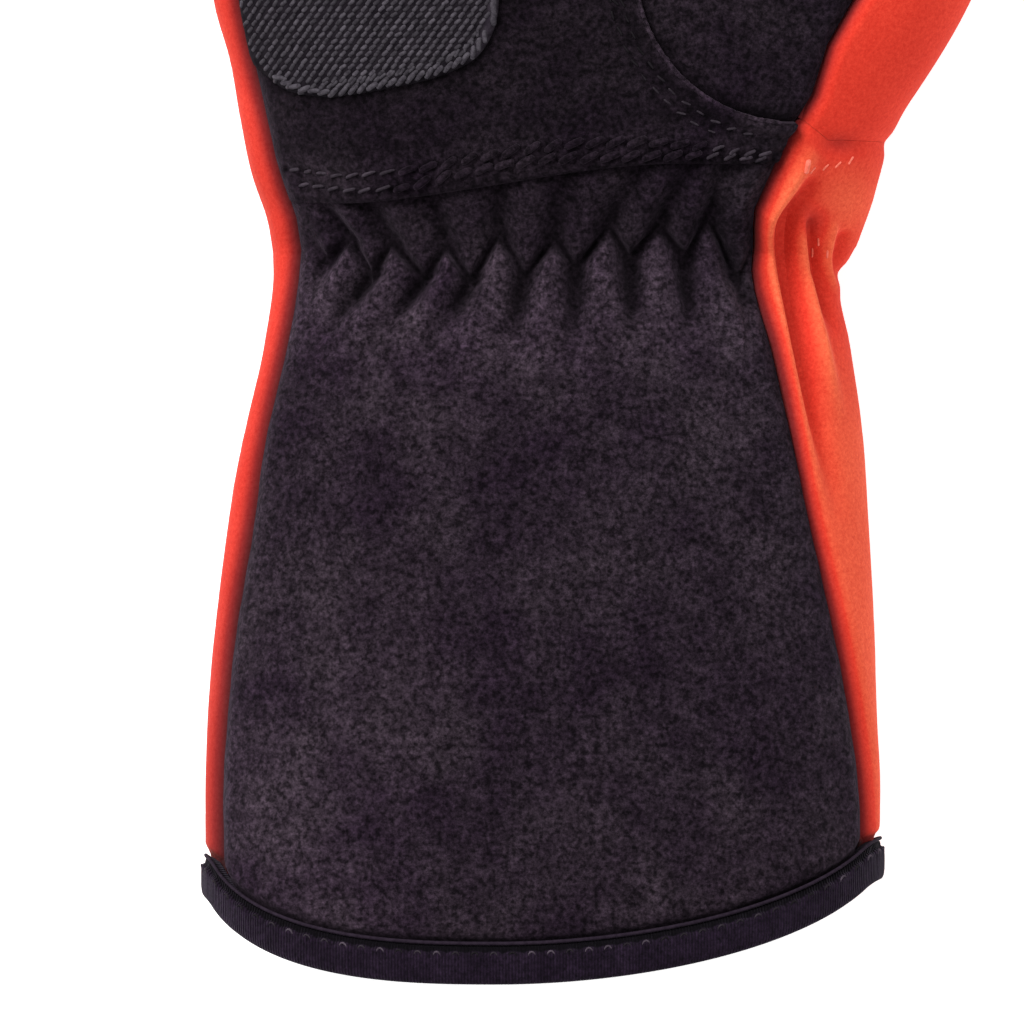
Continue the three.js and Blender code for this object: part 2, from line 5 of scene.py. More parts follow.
import bpy
import numpy as np
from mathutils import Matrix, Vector
from mathutils.bvhtree import BVHTree


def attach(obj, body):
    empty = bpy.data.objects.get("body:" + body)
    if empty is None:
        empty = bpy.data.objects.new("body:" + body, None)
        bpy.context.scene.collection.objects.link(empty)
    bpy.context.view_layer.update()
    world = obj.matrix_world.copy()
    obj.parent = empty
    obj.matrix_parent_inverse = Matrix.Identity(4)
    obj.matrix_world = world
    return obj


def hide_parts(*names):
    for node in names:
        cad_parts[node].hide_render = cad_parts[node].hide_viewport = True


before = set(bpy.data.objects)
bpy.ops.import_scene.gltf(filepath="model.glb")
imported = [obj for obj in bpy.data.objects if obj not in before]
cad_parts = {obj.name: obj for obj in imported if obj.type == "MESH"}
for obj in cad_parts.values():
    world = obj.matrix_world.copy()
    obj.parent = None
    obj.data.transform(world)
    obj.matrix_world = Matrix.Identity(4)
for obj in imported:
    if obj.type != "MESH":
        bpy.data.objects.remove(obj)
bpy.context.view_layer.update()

MM = 0.001
RANDOM = np.random.default_rng(11)

# Main sizes, as in the glove's construction
CUFF_LENGTH = 98.0
PALM_LENGTH = 100.0
WRIST_WIDTH = 75.8
MOUTH_WIDTH = 90.6
PALM_WIDTH = 96.0
WRIST_DEPTH = 26.5
MOUTH_DEPTH = 36.0
PALM_DEPTH = 32.0
KNUCKLE_DEPTH = 21.0
CLOTH = 1.5
HEM_RISE = 16.5
HEM_LOW_X = -8.0
HEM_CURVES = {"left": (2.7, 0.42, 0.99), "right": (1.9, 0.57, 0.985)}
HEM_EASE = 0.035
BINDING_HEIGHT = 5.6
MOUTH_LIFT = 1.5
THUMB_STRIP = 15.0
LITTLE_STRIP = 3.2
PALM_EDGE_LOW = 6.3
PALM_EDGE_RISE = 5.1
PALM_EDGE_START = -0.41
PALM_EDGE_SPAN = 0.633
THUMB_SEAM_Y = 14.3
WIDEST = 0.45
FLANK = 0.42
CROWN_POWER = 2.3

FINGER_LENGTH = 79.0
FINGER_WIDTH = 23.2
FINGER_DEPTH = 17.5
FINGER_SPLIT = 9.0
THUMB_LENGTH = 106.0
THUMB_HALF = 23.0
THUMB_DEPTH = 31.0
THUMB_ANGLE = math.radians(36)
THUMB_ROOT = np.array([14.0, 14.0])
HEEL_CENTRE = np.array([31.0, 38.0])
HEEL_RADII = np.array([20.5, 21.0])

GRIP_RIGHT = -7.7
GRIP_TOP = 74.0
GRIP_CORNER = 9.0
GRIP_INSET = 0.6
# The patch's lower edge, from the little finger's side round to its straight inner side: x, y
GRIP_EDGE = (
    (-40.3, 24.6), (-38.1, 22.7), (-35.9, 21.2), (-32.8, 20.4), (-30.1, 20.1), (-26.0, 20.6), (-21.1, 21.5),
    (-16.3, 22.7), (-13.4, 23.8), (-10.7, 25.4), (-8.8, 28.0), (-7.8, 31.2), (-7.7, 35.0),
)

# Rows of stitches on the palm, above its edge: x, y
PALM_ROWS = (
    (
        (-35.9, 10.8), (-32.0, 10.3), (-28.1, 9.9), (-22.7, 10.3), (-17.6, 10.9), (-11.6, 12.1),
        (-9.2, 12.5), (-0.8, 13.8), (2.8, 14.1), (8.8, 14.2), (14.3, 14.1), (19.9, 13.6), (24.0, 12.9),
        (28.6, 12.6),
    ),
    (
        (-34.5, 8.9), (-30.5, 8.3), (-26.7, 7.9), (-24.3, 8.0), (-20.3, 8.4), (-16.3, 9.3), (-14.3, 9.8),
        (-8.9, 10.9), (-4.8, 11.6), (3.3, 12.2), (14.8, 12.5), (19.6, 12.5), (24.3, 12.2), (28.4, 11.8),
    ),
)
# The row on the red cloth beside the thumb: x, y
RED_ROW = ((33.2, 10.3), (34.6, 10.6), (36.2, 11.1), (37.6, 11.3), (39.0, 11.9), (40.2, 12.5))

# Sections of the cuff. along: share of its length; left, right: share of the flare; deep: share of the gain
# in depth; strip, little: share of the red strips on the thumb's and little finger's side; lift: at the hem
SECTION_COLUMNS = ("along", "left", "right", "deep", "thin", "strip", "little", "lift")
CUFF_SECTIONS = (
    (-1.05, 1.20, 0.68, 1.00, 0, 0.08, 0.45, 1.0),
    (-0.90, 1.20, 0.68, 1.00, 0, 0.09, 0.45, 1.0),
    (-0.74, 1.22, 0.72, 0.97, 0, 0.14, 0.55, 0.4),
    (-0.62, 1.16, 0.66, 0.91, 0, 0.22, 0.62, 0.0),
    (-0.50, 1.02, 0.60, 0.82, 0, 0.34, 0.65, 0.0),
    (-0.36, 0.75, 0.49, 0.69, 0, 0.51, 0.75, 0.0),
    (-0.24, 0.46, 0.38, 0.55, 0, 0.62, 0.65, 0.0),
    (-0.13, 0.16, 0.20, 0.36, 0, 0.70, 0.68, 0.0),
    (-0.05, 0.01, 0.02, 0.12, 0, 0.76, 0.80, 0.0),
    (0.00, 0.00, 0.24, 0.00, 0, 0.90, 0.95, 0.0),
)
PALM_SECTIONS = (
    (0.00, 0.00, 0.21, 0.00, 0.00, 0.90, 0.95, 0),
    (0.05, 0.09, 0.37, 0.38, 0.00, 1.00, 0.97, 0),
    (0.10, 0.26, 0.44, 0.76, 0.00, 0.90, 0.93, 0),
    (0.16, 0.38, 0.42, 0.97, 0.00, 0.90, 0.88, 0),
    (0.25, 0.54, 0.44, 1.00, 0.00, 1.00, 0.66, 0),
    (0.34, 0.77, 0.44, 1.00, 0.10, 1.00, 0.82, 0),
    (0.50, 0.96, 0.48, 0.80, 0.35, 0.60, 1.00, 0),
    (0.70, 1.00, 0.56, 0.40, 0.70, 0.25, 1.00, 0),
    (0.90, 0.95, 0.60, 0.00, 1.00, 0.15, 1.00, 0),
    (1.02, 0.70, 0.45, 0.00, 1.15, 0.10, 1.00, 0),
)

# Gathers: folds above the wrist line end in tips, folds below it in peaks, on one zigzag crease.
# x, y of the point, and how far its valley leans sideways for each millimetre up (peaks) or down (tips)
PEAKS = (
    (-39.5, 1.0, -0.7), (-33.4, 1.2, -0.8), (-27.6, 1.3, -0.8), (-22.0, 0.9, -0.75), (-14.7, 0.5, -0.4),
    (-7.6, 2.0, 0.0), (-0.3, 1.3, 0.12), (6.8, 2.7, 0.55), (13.5, 2.9, 0.5), (20.0, 3.8, 0.35),
    (28.0, 4.0, 0.3), (36.0, 3.0, 0.2), (44.0, 3.0, 0.1),
)
TIPS = (
    (-42.5, -1.0, -0.8), (-36.4, -1.0, -0.85), (-30.6, -1.2, -0.85), (-24.7, -3.1, -0.79),
    (-17.6, -3.6, -0.78), (-11.4, -4.0, -0.67), (-4.2, -3.3, -0.31), (2.6, -2.2, -0.06),
    (9.7, -0.9, 0.07), (17.1, -0.9, 0.12), (24.4, -3.6, 0.5), (32.0, -2.0, 0.3), (40.0, -2.0, 0.2),
)

# Folds of the red cloth beside the wrist: height, half width, and the line that the fold follows
RED_FOLDS = (
    (1.3, 1.3, (
        (33.4, 12.6), (30.6, 7.6), (28.0, 3.2), (28.3, -2.5), (29.7, -10.0), (32.0, -21.0), (35.0, -34.0)
    )),
    (-1.7, 1.3, (
        (33.6, 8.6), (30.8, 4.6), (30.2, 0.6), (30.9, -4.5), (32.0, -11.0), (34.6, -23.0), (37.5, -35.0)
    )),
    (1.1, 0.9, ((32.7, 4.4), (32.7, 0.4), (33.3, -4.0), (34.6, -10.0), (37.6, -22.0))),
    (-1.3, 0.8, ((34.1, 3.4), (34.3, -0.4), (35.2, -4.6), (37.2, -11.0))),
    (0.9, 0.7, ((36.8, 3.6), (36.3, 1.0), (36.1, -1.6), (37.4, -6.0))),
    (-0.8, 0.8, ((38.6, 2.4), (37.6, -1.2), (38.4, -4.6))),
)

FINGERS = (
    {"name": "index", "at": 0.67, "long": 0.92, "wide": 1.0, "lean": 5.0},
    {"name": "middle", "at": 0.2, "long": 1.0, "wide": 1.0, "lean": 1.0},
    {"name": "ring", "at": -0.27, "long": 0.93, "wide": 0.97, "lean": -4.0},
    {"name": "little", "at": -0.745, "long": 0.74, "wide": 0.9, "lean": -9.0},
)
# along: share of the thumb's length; outer, inner: share of its half width; deep: share of its depth;
# seam: how far in from the free side the front and back meet, share of the thumb side's strip
THUMB_COLUMNS = ("along", "outer", "inner", "deep", "seam")
THUMB_SECTIONS = (
    (-0.04, 0.80, 0.70, 0.90, 1.1),
    (0.10, 0.98, 0.74, 0.98, 0.62),
    (0.23, 1.01, 0.74, 1.00, 0.87),
    (0.38, 0.95, 0.64, 0.96, 0.85),
    (0.54, 0.73, 0.54, 0.84, 0.5),
    (0.70, 0.59, 0.52, 0.74, 0.15),
    (0.84, 0.53, 0.50, 0.66, -0.3),
    (1.00, 0.50, 0.47, 0.60, -0.6),
)

STITCH_PITCH = 2.4
KNIT_PITCH = 0.42
HEM_TUCK = 0.9

# The skin's grid, and the bands where its mesh is refined: y from and to, z above, and how far it faces up
VOXEL = 1.2
FAR = 300.0
REFINED = ((-FAR, 46.0, 9.0, -0.1), (-15.0, 13.0, 12.0, 0.1))
LIMB_POWER = 2.2
WAVES = 7
OUTSIDE = 40.0
GRID_BOX = ((-56.0, 90.0), (-112.0, 186.0), (-4.8, 40.0))
# How softly the hand's closed end, the thumb and the fingers blend into the hand
END_BLEND = 9.0
THUMB_BLEND = 5.0
FINGER_BLEND = 4.0
CORNERS = [(i, j, k) for i in (0, 1) for j in (0, 1) for k in (0, 1)]


def smooth(value):
    t = np.clip(value, 0.0, 1.0)
    return t * t * (3.0 - 2.0 * t)


def rise(value, start, span):
    """A soft step from 0 to 1."""
    return smooth((value - start) / span)


def fall(value, start, span):
    """A soft step from 1 to 0."""
    return 1 - rise(value, start, span)


def hill(value, centre, width):
    return np.exp(-(((value - centre) / width) ** 2))


def mound(x, y, centre, widths):
    return np.exp(-(((x - centre[0]) / widths[0]) ** 2) - ((y - centre[1]) / widths[1]) ** 2)


def unit(ways):
    return ways / np.linalg.norm(ways, axis=1)[:, None]


def length_along(line):
    """How far along a line each of its points lies."""
    return np.concatenate([[0], np.cumsum(np.linalg.norm(np.diff(line, axis=0), axis=1))])


def triangle_edges(faces):
    return np.concatenate([faces[:, [0, 1]], faces[:, [1, 2]], faces[:, [2, 0]]])


def edge_keys(edges, count):
    """One number for each edge, whichever way it runs."""
    edges = np.sort(edges, 1)
    return edges[:, 0] * (count + 1) + edges[:, 1]


def column_at(rows, columns, name, along):
    """A column's value between the rows, on a smooth curve through them."""
    table = np.array(rows, float)
    places = table[:, 0]
    values = table[:, columns.index(name)]
    place = np.clip(along, places[0], places[-1])
    row = np.clip(np.searchsorted(places, place, side="left") - 1, 0, len(places) - 2)
    before = np.maximum(row - 1, 0)
    after = np.minimum(row + 2, len(places) - 1)
    start_slope = (values[row + 1] - values[before]) / (places[row + 1] - places[before])
    end_slope = (values[after] - values[row]) / (places[after] - places[row])
    span = places[row + 1] - places[row]
    t = (place - places[row]) / span
    near = (1 + 2 * t) * (1 - t) ** 2 * values[row] + t * t * (3 - 2 * t) * values[row + 1]
    return near + span * (t * (1 - t) ** 2 * start_slope - t * t * (1 - t) * end_slope)


def thumb_value(name, along):
    return column_at(THUMB_SECTIONS, THUMB_COLUMNS, name, along)


def exact_section(y):
    """Sides, depth and strips of the cuff and hand at heights y."""
    y = np.asarray(y, float)
    found = {}
    for name in SECTION_COLUMNS[1:]:
        low = column_at(CUFF_SECTIONS, SECTION_COLUMNS, name, y / CUFF_LENGTH)
        high = column_at(PALM_SECTIONS, SECTION_COLUMNS, name, y / PALM_LENGTH)
        found[name] = np.where(y < 0, low, high)
    widening = np.where(y < 0, MOUTH_WIDTH - WRIST_WIDTH, PALM_WIDTH - WRIST_WIDTH) / 2
    deepening = np.where(y < 0, MOUTH_DEPTH, PALM_DEPTH) - WRIST_DEPTH
    thinning = found["thin"] * (WRIST_DEPTH - KNUCKLE_DEPTH)
    return {
        "left": -WRIST_WIDTH / 2 - widening * found["left"],
        "right": WRIST_WIDTH / 2 + widening * found["right"],
        "top": WRIST_DEPTH + deepening * found["deep"] - thinning,
        "bottom": MOUTH_LIFT * np.maximum(found["lift"], 0),
        "thumb_strip": THUMB_STRIP * found["strip"],
        "little_strip": LITTLE_STRIP * found["little"],
    }


SECTION_Y = np.arange(-126.0, 110.0, 0.5)
SECTION_TABLE = exact_section(SECTION_Y)


def section(y):
    return {name: np.interp(y, SECTION_Y, values) for name, values in SECTION_TABLE.items()}


def hem_rise(x):
    spans = {"left": MOUTH_WIDTH / 2 + 2 + HEM_LOW_X, "right": MOUTH_WIDTH / 2 - 2 - HEM_LOW_X}
    rises = {}
    for side, (power, ease, reach) in HEM_CURVES.items():
        share = np.abs(x - HEM_LOW_X) / spans[side]
        over = np.maximum(share - reach + HEM_EASE, 0)
        share = share - over + HEM_EASE * (1 - np.exp(-over / HEM_EASE))
        rises[side] = 1 - (1 - share**power) ** ease
    return HEM_RISE * np.where(x < HEM_LOW_X, rises["left"], rises["right"])


def palm_edge(x):
    return PALM_EDGE_LOW + PALM_EDGE_RISE * rise(x / WRIST_WIDTH, PALM_EDGE_START, PALM_EDGE_SPAN)


def smooth_min(a, b, reach):
    h = np.clip(0.5 + 0.5 * (b - a) / reach, 0, 1)
    return b * (1 - h) + a * h - reach * h * (1 - h)


def smooth_max(a, b, reach):
    return -smooth_min(-a, -b, reach)


THUMB_AXIS = np.array([math.sin(THUMB_ANGLE), math.cos(THUMB_ANGLE)])
THUMB_SIDE = np.array([THUMB_AXIS[1], -THUMB_AXIS[0]])


def thumb_place(along, out):
    return THUMB_ROOT + THUMB_AXIS * along * THUMB_LENGTH + THUMB_SIDE * out


# The skin as distances on a grid


def section_outline(y):
    """The closed outline of one section in x and z."""
    here = section(np.array([y]))
    left, right, top, low = (float(here[name][0]) for name in ("left", "right", "top", "bottom"))
    centre = (left + right) / 2
    half = (right - left) / 2
    widest = low + (top - low) * WIDEST
    across = np.sin(np.linspace(-math.pi / 2, math.pi / 2, 37))
    crown = np.sqrt(np.maximum(1 - np.abs(across) ** CROWN_POWER, 0))
    front = np.stack([centre + half * across, widest + (top - widest) * crown], 1)
    turn = np.linspace(0, math.pi / 2, 9)[1:]
    flank_x = half * FLANK * (1 - np.cos(turn))
    flank_z = widest - (widest - low) * np.sin(turn)
    right_flank = np.stack([centre + half - flank_x, flank_z], 1)
    left_flank = np.stack([centre - half + flank_x, flank_z], 1)[::-1]
    return np.concatenate([front, right_flank, left_flank]), (centre, half, widest, top, low)


def outline_distance(points, outline):
    start = outline
    step = np.roll(outline, -1, 0) - start
    length = np.maximum((step**2).sum(1), 1e-9)
    away = points[:, None, :] - start[None]
    t = np.clip((away * step[None]).sum(2) / length[None], 0, 1)
    return np.sqrt(((away - t[..., None] * step[None]) ** 2).sum(2).min(1))


def hand_distances(xs, ys, zs):
    grid_x, grid_z = np.meshgrid(xs, zs, indexing="ij")
    points = np.stack([grid_x.ravel(), grid_z.ravel()], 1)
    values = np.full((len(xs), len(ys), len(zs)), OUTSIDE)
    for index, y in enumerate(ys):
        if y > PALM_LENGTH + 12:
            break
        outline, (centre, half, widest, top, low) = section_outline(min(y, PALM_LENGTH))
        distance = outline_distance(points, outline)
        share = np.abs(points[:, 0] - centre) / half
        height = (points[:, 1] - widest) / (top - widest)
        beyond = np.maximum((share - 1 + FLANK) / FLANK, 0)
        depth = (widest - points[:, 1]) / (widest - low)
        inside = np.where(height > 0, share**CROWN_POWER + height**2 < 1, beyond**2 + depth**2 < 1)
        values[:, index, :] = np.where(inside, -distance, distance).reshape(len(xs), len(zs))
    return smooth_max(values, (ys - PALM_LENGTH - 0.5)[None, :, None] + 0 * values, END_BLEND)


def limb_distances(x, y, z, root, axis, length, widths, depths, tip):
    """A rounded limb: widths gives both half widths and depths the lowest and highest point, by share."""
    along = (x - root[0]) * axis[0] + (y - root[1]) * axis[1]
    across = (x - root[0]) * axis[1] - (y - root[1]) * axis[0]
    share = along / length
    outer, inner = widths(share)
    low, high = depths(share)
    half = np.where(across > 0, outer, inner)
    middle = (low + high) / 2
    depth = (high - low) / 2
    past = np.maximum(along - (length - tip), 0) / tip
    parts = (np.abs(across / half), np.abs((z - middle) / depth), past)
    radius = sum(part**LIMB_POWER for part in parts) ** (1 / LIMB_POWER)
    return (radius - 1) * np.minimum(half, depth), along


def skin_distances(xs, ys, zs):
    values = hand_distances(xs, ys, zs)
    x, y, z = np.meshgrid(xs, ys, zs, indexing="ij", sparse=True)

    def thumb_widths(share):
        return thumb_value("outer", share) * THUMB_HALF, thumb_value("inner", share) * THUMB_HALF

    def thumb_depths(share):
        return 2.0 * rise(share, 0.7, 0.3), thumb_value("deep", share) * THUMB_DEPTH

    thumb, along = limb_distances(
        x, y, z, THUMB_ROOT, THUMB_AXIS, THUMB_LENGTH, thumb_widths, thumb_depths, 12.0
    )
    thumb = smooth_max(thumb, -(along + 3.0), 6.0)
    values = smooth_min(values, thumb, THUMB_BLEND)
    start = int(np.searchsorted(ys, PALM_LENGTH - 26))
    part_y = y[:, start:, :]
    limbs = None
    for finger in FINGERS:
        lean = math.radians(finger["lean"])
        axis = np.array([math.sin(lean), math.cos(lean)])
        root = np.array([finger["at"] * PALM_WIDTH / 2, PALM_LENGTH])
        half = FINGER_WIDTH * finger["wide"] / 2

        def widths(share, half=half):
            wide = half * (1 - 0.1 * rise(share, 0.1, 0.8) - 0.025 * np.sin(share * 11) ** 2)
            return wide, wide

        def depths(share):
            low = 0.35 + 1.6 * rise(share, 0.5, 0.5)
            high = FINGER_DEPTH * (1 - 0.07 * rise(share, 0.2, 0.8)) + 0.25 * np.sin(share * 11)
            return low, high

        limb, along = limb_distances(
            x, part_y, z, root, axis, FINGER_LENGTH * finger["long"], widths, depths, half * 0.95
        )
        limb = np.maximum(limb, -(along + 16.0))
        limbs = limb if limbs is None else np.minimum(limbs, limb)
    values[:, start:, :] = smooth_min(values[:, start:, :], limbs, FINGER_BLEND)
    return np.maximum(values, -z + 0 * values)


def surface_net(values, origin, step):
    """Points and four-sided faces where the values on the grid change sign."""
    shape = np.array(values.shape)
    inside = values < 0
    cut = tuple(shape - 1)
    count = sum(inside[i : i + cut[0], j : j + cut[1], k : k + cut[2]].astype(int) for i, j, k in CORNERS)
    active = (count > 0) & (count < 8)
    index = np.full(cut, -1)
    index[active] = np.arange(active.sum())
    cells = np.argwhere(active)
    total = np.zeros((len(cells), 3))
    hits = np.zeros(len(cells))
    for start in CORNERS:
        for axis in range(3):
            if start[axis] == 1:
                continue
            end = list(start)
            end[axis] = 1
            a = values[tuple((cells + start).T)]
            b = values[tuple((cells + end).T)]
            crosses = (a < 0) != (b < 0)
            t = np.where(crosses, a / np.where(crosses, a - b, 1), 0)
            spot = cells + np.array(start) + t[:, None] * np.eye(3)[axis]
            total += spot * crosses[:, None]
            hits += crosses
    points = np.array(origin) + step * total / hits[:, None]
    quads = []
    for axis in range(3):
        others = [other for other in range(3) if other != axis]
        low = [slice(None)] * 3
        high = [slice(None)] * 3
        low[axis] = slice(0, shape[axis] - 1)
        high[axis] = slice(1, shape[axis])
        edges = np.argwhere(inside[tuple(low)] != inside[tuple(high)])
        beside = edges[:, others]
        edges = edges[((beside > 0) & (beside < np.array(cut)[others])).all(1)]
        around = []
        for shift in ((0, 0), (-1, 0), (-1, -1), (0, -1)):
            cell = edges.copy()
            cell[:, others] += shift
            around.append(index[tuple(cell.T)])
        quad = np.stack(around, 1)
        out = inside[tuple(edges.T)]
        if axis == 1:
            out = ~out
        quads.append(np.where(out[:, None], quad[:, ::-1], quad))
    quads = np.concatenate(quads)
    return points, quads[(quads >= 0).all(1)]


class Skin:
    """The glove's outer surface as triangles, with the distance grid that it follows."""

    def __init__(self):
        xs, ys, zs = (np.arange(low, high, VOXEL) for low, high in GRID_BOX)
        self.origin = np.array([xs[0], ys[0], zs[0]])
        values = skin_distances(xs, ys, zs)
        slopes = np.gradient(values, VOXEL)
        self.grid = np.stack([values, *slopes], 3)
        points, quads = surface_net(values, self.origin, VOXEL)
        diagonal = np.linalg.norm(points[quads[:, 0]] - points[quads[:, 2]], axis=1)
        other = np.linalg.norm(points[quads[:, 1]] - points[quads[:, 3]], axis=1)
        first = quads[diagonal <= other]
        second = quads[diagonal > other]
        self.faces = np.concatenate([
            first[:, [0, 1, 2]], first[:, [0, 2, 3]], second[:, [0, 1, 3]], second[:, [1, 2, 3]]
        ])
        self.points = points
        for _ in range(6):
            self.relax(0.6)
        self.project(2)

    def sample(self, points):
        place = (points - self.origin) / VOXEL
        place = np.clip(place, 0, np.array(self.grid.shape[:3]) - 1.001)
        cell = place.astype(int)
        t = place - cell
        result = 0
        for corner in CORNERS:
            near = np.where(corner, t, 1 - t)
            weight = near[:, 0] * near[:, 1] * near[:, 2]
            result = result + weight[:, None] * self.grid[tuple((cell + corner).T)]
        return result

    def relax(self, amount):
        edges = triangle_edges(self.faces)
        count = np.bincount(edges.ravel(), minlength=len(self.points))
        mean = np.zeros_like(self.points)
        for axis in range(3):
            mean[:, axis] = np.bincount(edges[:, 0], self.points[edges[:, 1], axis], len(self.points))
            mean[:, axis] += np.bincount(edges[:, 1], self.points[edges[:, 0], axis], len(self.points))
        mean /= np.maximum(count, 1)[:, None]
        self.points = self.points + amount * (mean - self.points)
        self.project(1)

    def project(self, times):
        for _ in range(times):
            found = self.sample(self.points)
            slope = found[:, 1:]
            size = np.maximum((slope**2).sum(1), 0.05)
            self.points = self.points - slope * (np.clip(found[:, 0], -1, 1) / size)[:, None]

    def normals(self, points):
        slope = self.sample(points)[:, 1:]
        return slope / np.maximum(np.linalg.norm(slope, axis=1), 1e-6)[:, None]

    def refine(self, chosen):
        """Splits the chosen triangles in four, and their neighbours to match."""
        faces = self.faces
        edges = triangle_edges(faces)
        keys = edge_keys(edges, len(self.points))
        unique, first, back = np.unique(keys, return_index=True, return_inverse=True)
        back = back.reshape(3, -1).T
        marked = np.zeros(len(unique), bool)
        marked[back[chosen].ravel()] = True
        middle = np.full(len(unique), -1)
        middle[marked] = len(self.points) + np.arange(marked.sum())
        ends = edges[first[marked]]
        self.points = np.concatenate([self.points, (self.points[ends[:, 0]] + self.points[ends[:, 1]]) / 2])
        mids = middle[back]
        count = (mids >= 0).sum(1)
        made = [faces[count == 0]]
        a, b, c = faces[count == 3].T
        ab, bc, ca = mids[count == 3].T
        made += [np.stack(t, 1) for t in ((a, ab, ca), (ab, b, bc), (ca, bc, c), (ab, bc, ca))]
        for order in ([0, 1, 2], [1, 2, 0], [2, 0, 1]):
            face = faces[:, order]
            mid = mids[:, order]
            one = (count == 1) & (mid[:, 0] >= 0)
            a, b, c = face[one].T
            ab = mid[one, 0]
            made += [np.stack(t, 1) for t in ((a, ab, c), (ab, b, c))]
            two = (count == 2) & (mid[:, 2] < 0)
            a, b, c = face[two].T
            ab, bc = mid[two, 0], mid[two, 1]
            made += [np.stack(t, 1) for t in ((ab, b, bc), (a, ab, bc), (a, bc, c))]
        self.faces = np.concatenate(made)
        self.project(1)


# Lines in plan that part the pieces


def line_distance(points, line, closed=False):
    """Distance to a line in plan; for a closed one, positive inside it and negative outside."""
    line = np.asarray(line, float)
    start = line if closed else line[:-1]
    end = np.roll(line, -1, 0) if closed else line[1:]
    step = end - start
    length = np.maximum((step**2).sum(1), 1e-9)
    found = np.empty(len(points))
    for first in range(0, len(points), 40000):
        part = points[first : first + 40000]
        away = part[:, None, :] - start[None]
        t = np.clip((away * step[None]).sum(2) / length[None], 0, 1)
        rest = away - t[..., None] * step[None]
        distance = np.sqrt((rest**2).sum(2)).min(1)
        if closed:
            level = (start[None, :, 1] > part[:, None, 1]) != (end[None, :, 1] > part[:, None, 1])
            rise = np.where(step[:, 1] == 0, 1, step[:, 1])
            meets = start[None, :, 0] + away[..., 1] / rise[None] * step[None, :, 0]
            odd = (level & (meets > part[:, None, 0])).sum(1) % 2 == 1
            distance = np.where(odd, distance, -distance)
        found[first : first + 40000] = distance
    return found


def curve_through(points, steps=6):
    """Points on a smooth curve through the given ones."""
    points = np.asarray(points, float)
    ends = np.concatenate([[2 * points[0] - points[1]], points, [2 * points[-1] - points[-2]]])
    t = np.linspace(0, 1, steps, endpoint=False)[:, None]
    spans = []
    for a, b, c, d in zip(ends, ends[1:], ends[2:], ends[3:]):
        bend = (2 * a - 5 * b + 4 * c - d) * t**2
        spans.append(0.5 * (2 * b + (c - a) * t + bend + (3 * b - a - 3 * c + d) * t**3))
    return np.concatenate([*spans, [points[-1]]])


def thumb_side_seam():
    y = np.arange(-120.0, 12.0, 2.5)
    here = exact_section(y)
    line = np.stack([here["right"] - here["thumb_strip"], y], 1)
    share = np.linspace(0.1, 0.9, 14)
    out = thumb_value("outer", share) * THUMB_HALF - thumb_value("seam", share) * THUMB_STRIP
    along_thumb = np.array([thumb_place(s, o) for s, o in zip(share, out)])
    closing = [thumb_place(1.5, 60.0), [FAR, FAR], [-FAR, FAR], [-FAR, -FAR], [line[0][0], -FAR]]
    return np.concatenate([line, along_thumb, closing])


def little_side_seam():
    y = np.arange(-120.0, PALM_LENGTH + 4, 4.0)
    here = exact_section(y)
    line = np.stack([here["left"] + here["little_strip"], y], 1)
    closing = [[line[-1][0], FAR], [FAR, FAR], [FAR, -FAR], [line[0][0], -FAR]]
    return np.concatenate([line, closing])


def thumb_heel_seam():
    turn = np.linspace(0, math.pi / 2, 14)
    arc = HEEL_CENTRE - HEEL_RADII * np.stack([np.sin(turn), np.cos(turn)], 1)
    tail = [thumb_place(0.36, -THUMB_HALF * 0.75)]
    tail += [thumb_place(share, -THUMB_HALF * 0.56) for share in (0.55, 0.72)]
    tail += [thumb_place(1.4, -THUMB_HALF * 0.7)]
    low = HEEL_CENTRE[1] - HEEL_RADII[1]
    seam = np.array([[FAR, THUMB_SEAM_Y], [HEEL_CENTRE[0] + 5.5, THUMB_SEAM_Y], [HEEL_CENTRE[0] + 2, low]])
    return np.concatenate([seam, curve_through(np.concatenate([arc, tail]), 3), [[FAR, FAR]]])


def grip_outline():
    corner = np.linspace(0, math.pi / 2, 8)
    right = [GRIP_RIGHT, GRIP_TOP] - GRIP_CORNER * np.stack([1 - np.cos(corner), 1 - np.sin(corner)], 1)
    y = np.arange(GRIP_TOP - GRIP_CORNER, GRIP_EDGE[0][1] + 1, -3.0)
    here = exact_section(y)
    side = np.stack([here["left"] + here["little_strip"] + GRIP_INSET, y], 1)
    top = side[0] + GRIP_CORNER * np.stack([1 - np.cos(corner[::-1]), np.sin(corner[::-1])], 1)
    return np.concatenate([curve_through(GRIP_EDGE, 4), right, top[:-1], side])


FIELD_NAMES = ("front", "thumb_seam", "little_seam", "edge", "thumb", "hem", "roots", "grip")


def all_fields(points):
    x, y, z = points.T
    here = section(y)
    widest = here["bottom"] + (here["top"] - here["bottom"]) * WIDEST + 0.6
    lowered = widest + (FINGER_SPLIT - widest) * rise(y, 88, 12)
    split = np.where(y > PALM_LENGTH, FINGER_SPLIT, lowered)
    plan = points[:, :2]
    right = line_distance(plan, thumb_side_seam(), closed=True)
    left = line_distance(plan, little_side_seam(), closed=True)
    left = np.where(y > PALM_LENGTH - 2, FAR, left)
    return np.stack([
        np.minimum(np.minimum(right, left), z - split),
        right,
        left,
        y - palm_edge(x),
        line_distance(plan, thumb_heel_seam(), closed=True),
        y - (BINDING_HEIGHT + 0.15 - CUFF_LENGTH + hem_rise(x)),
        y - PALM_LENGTH,
        line_distance(plan, grip_outline(), closed=True),
    ], 1)


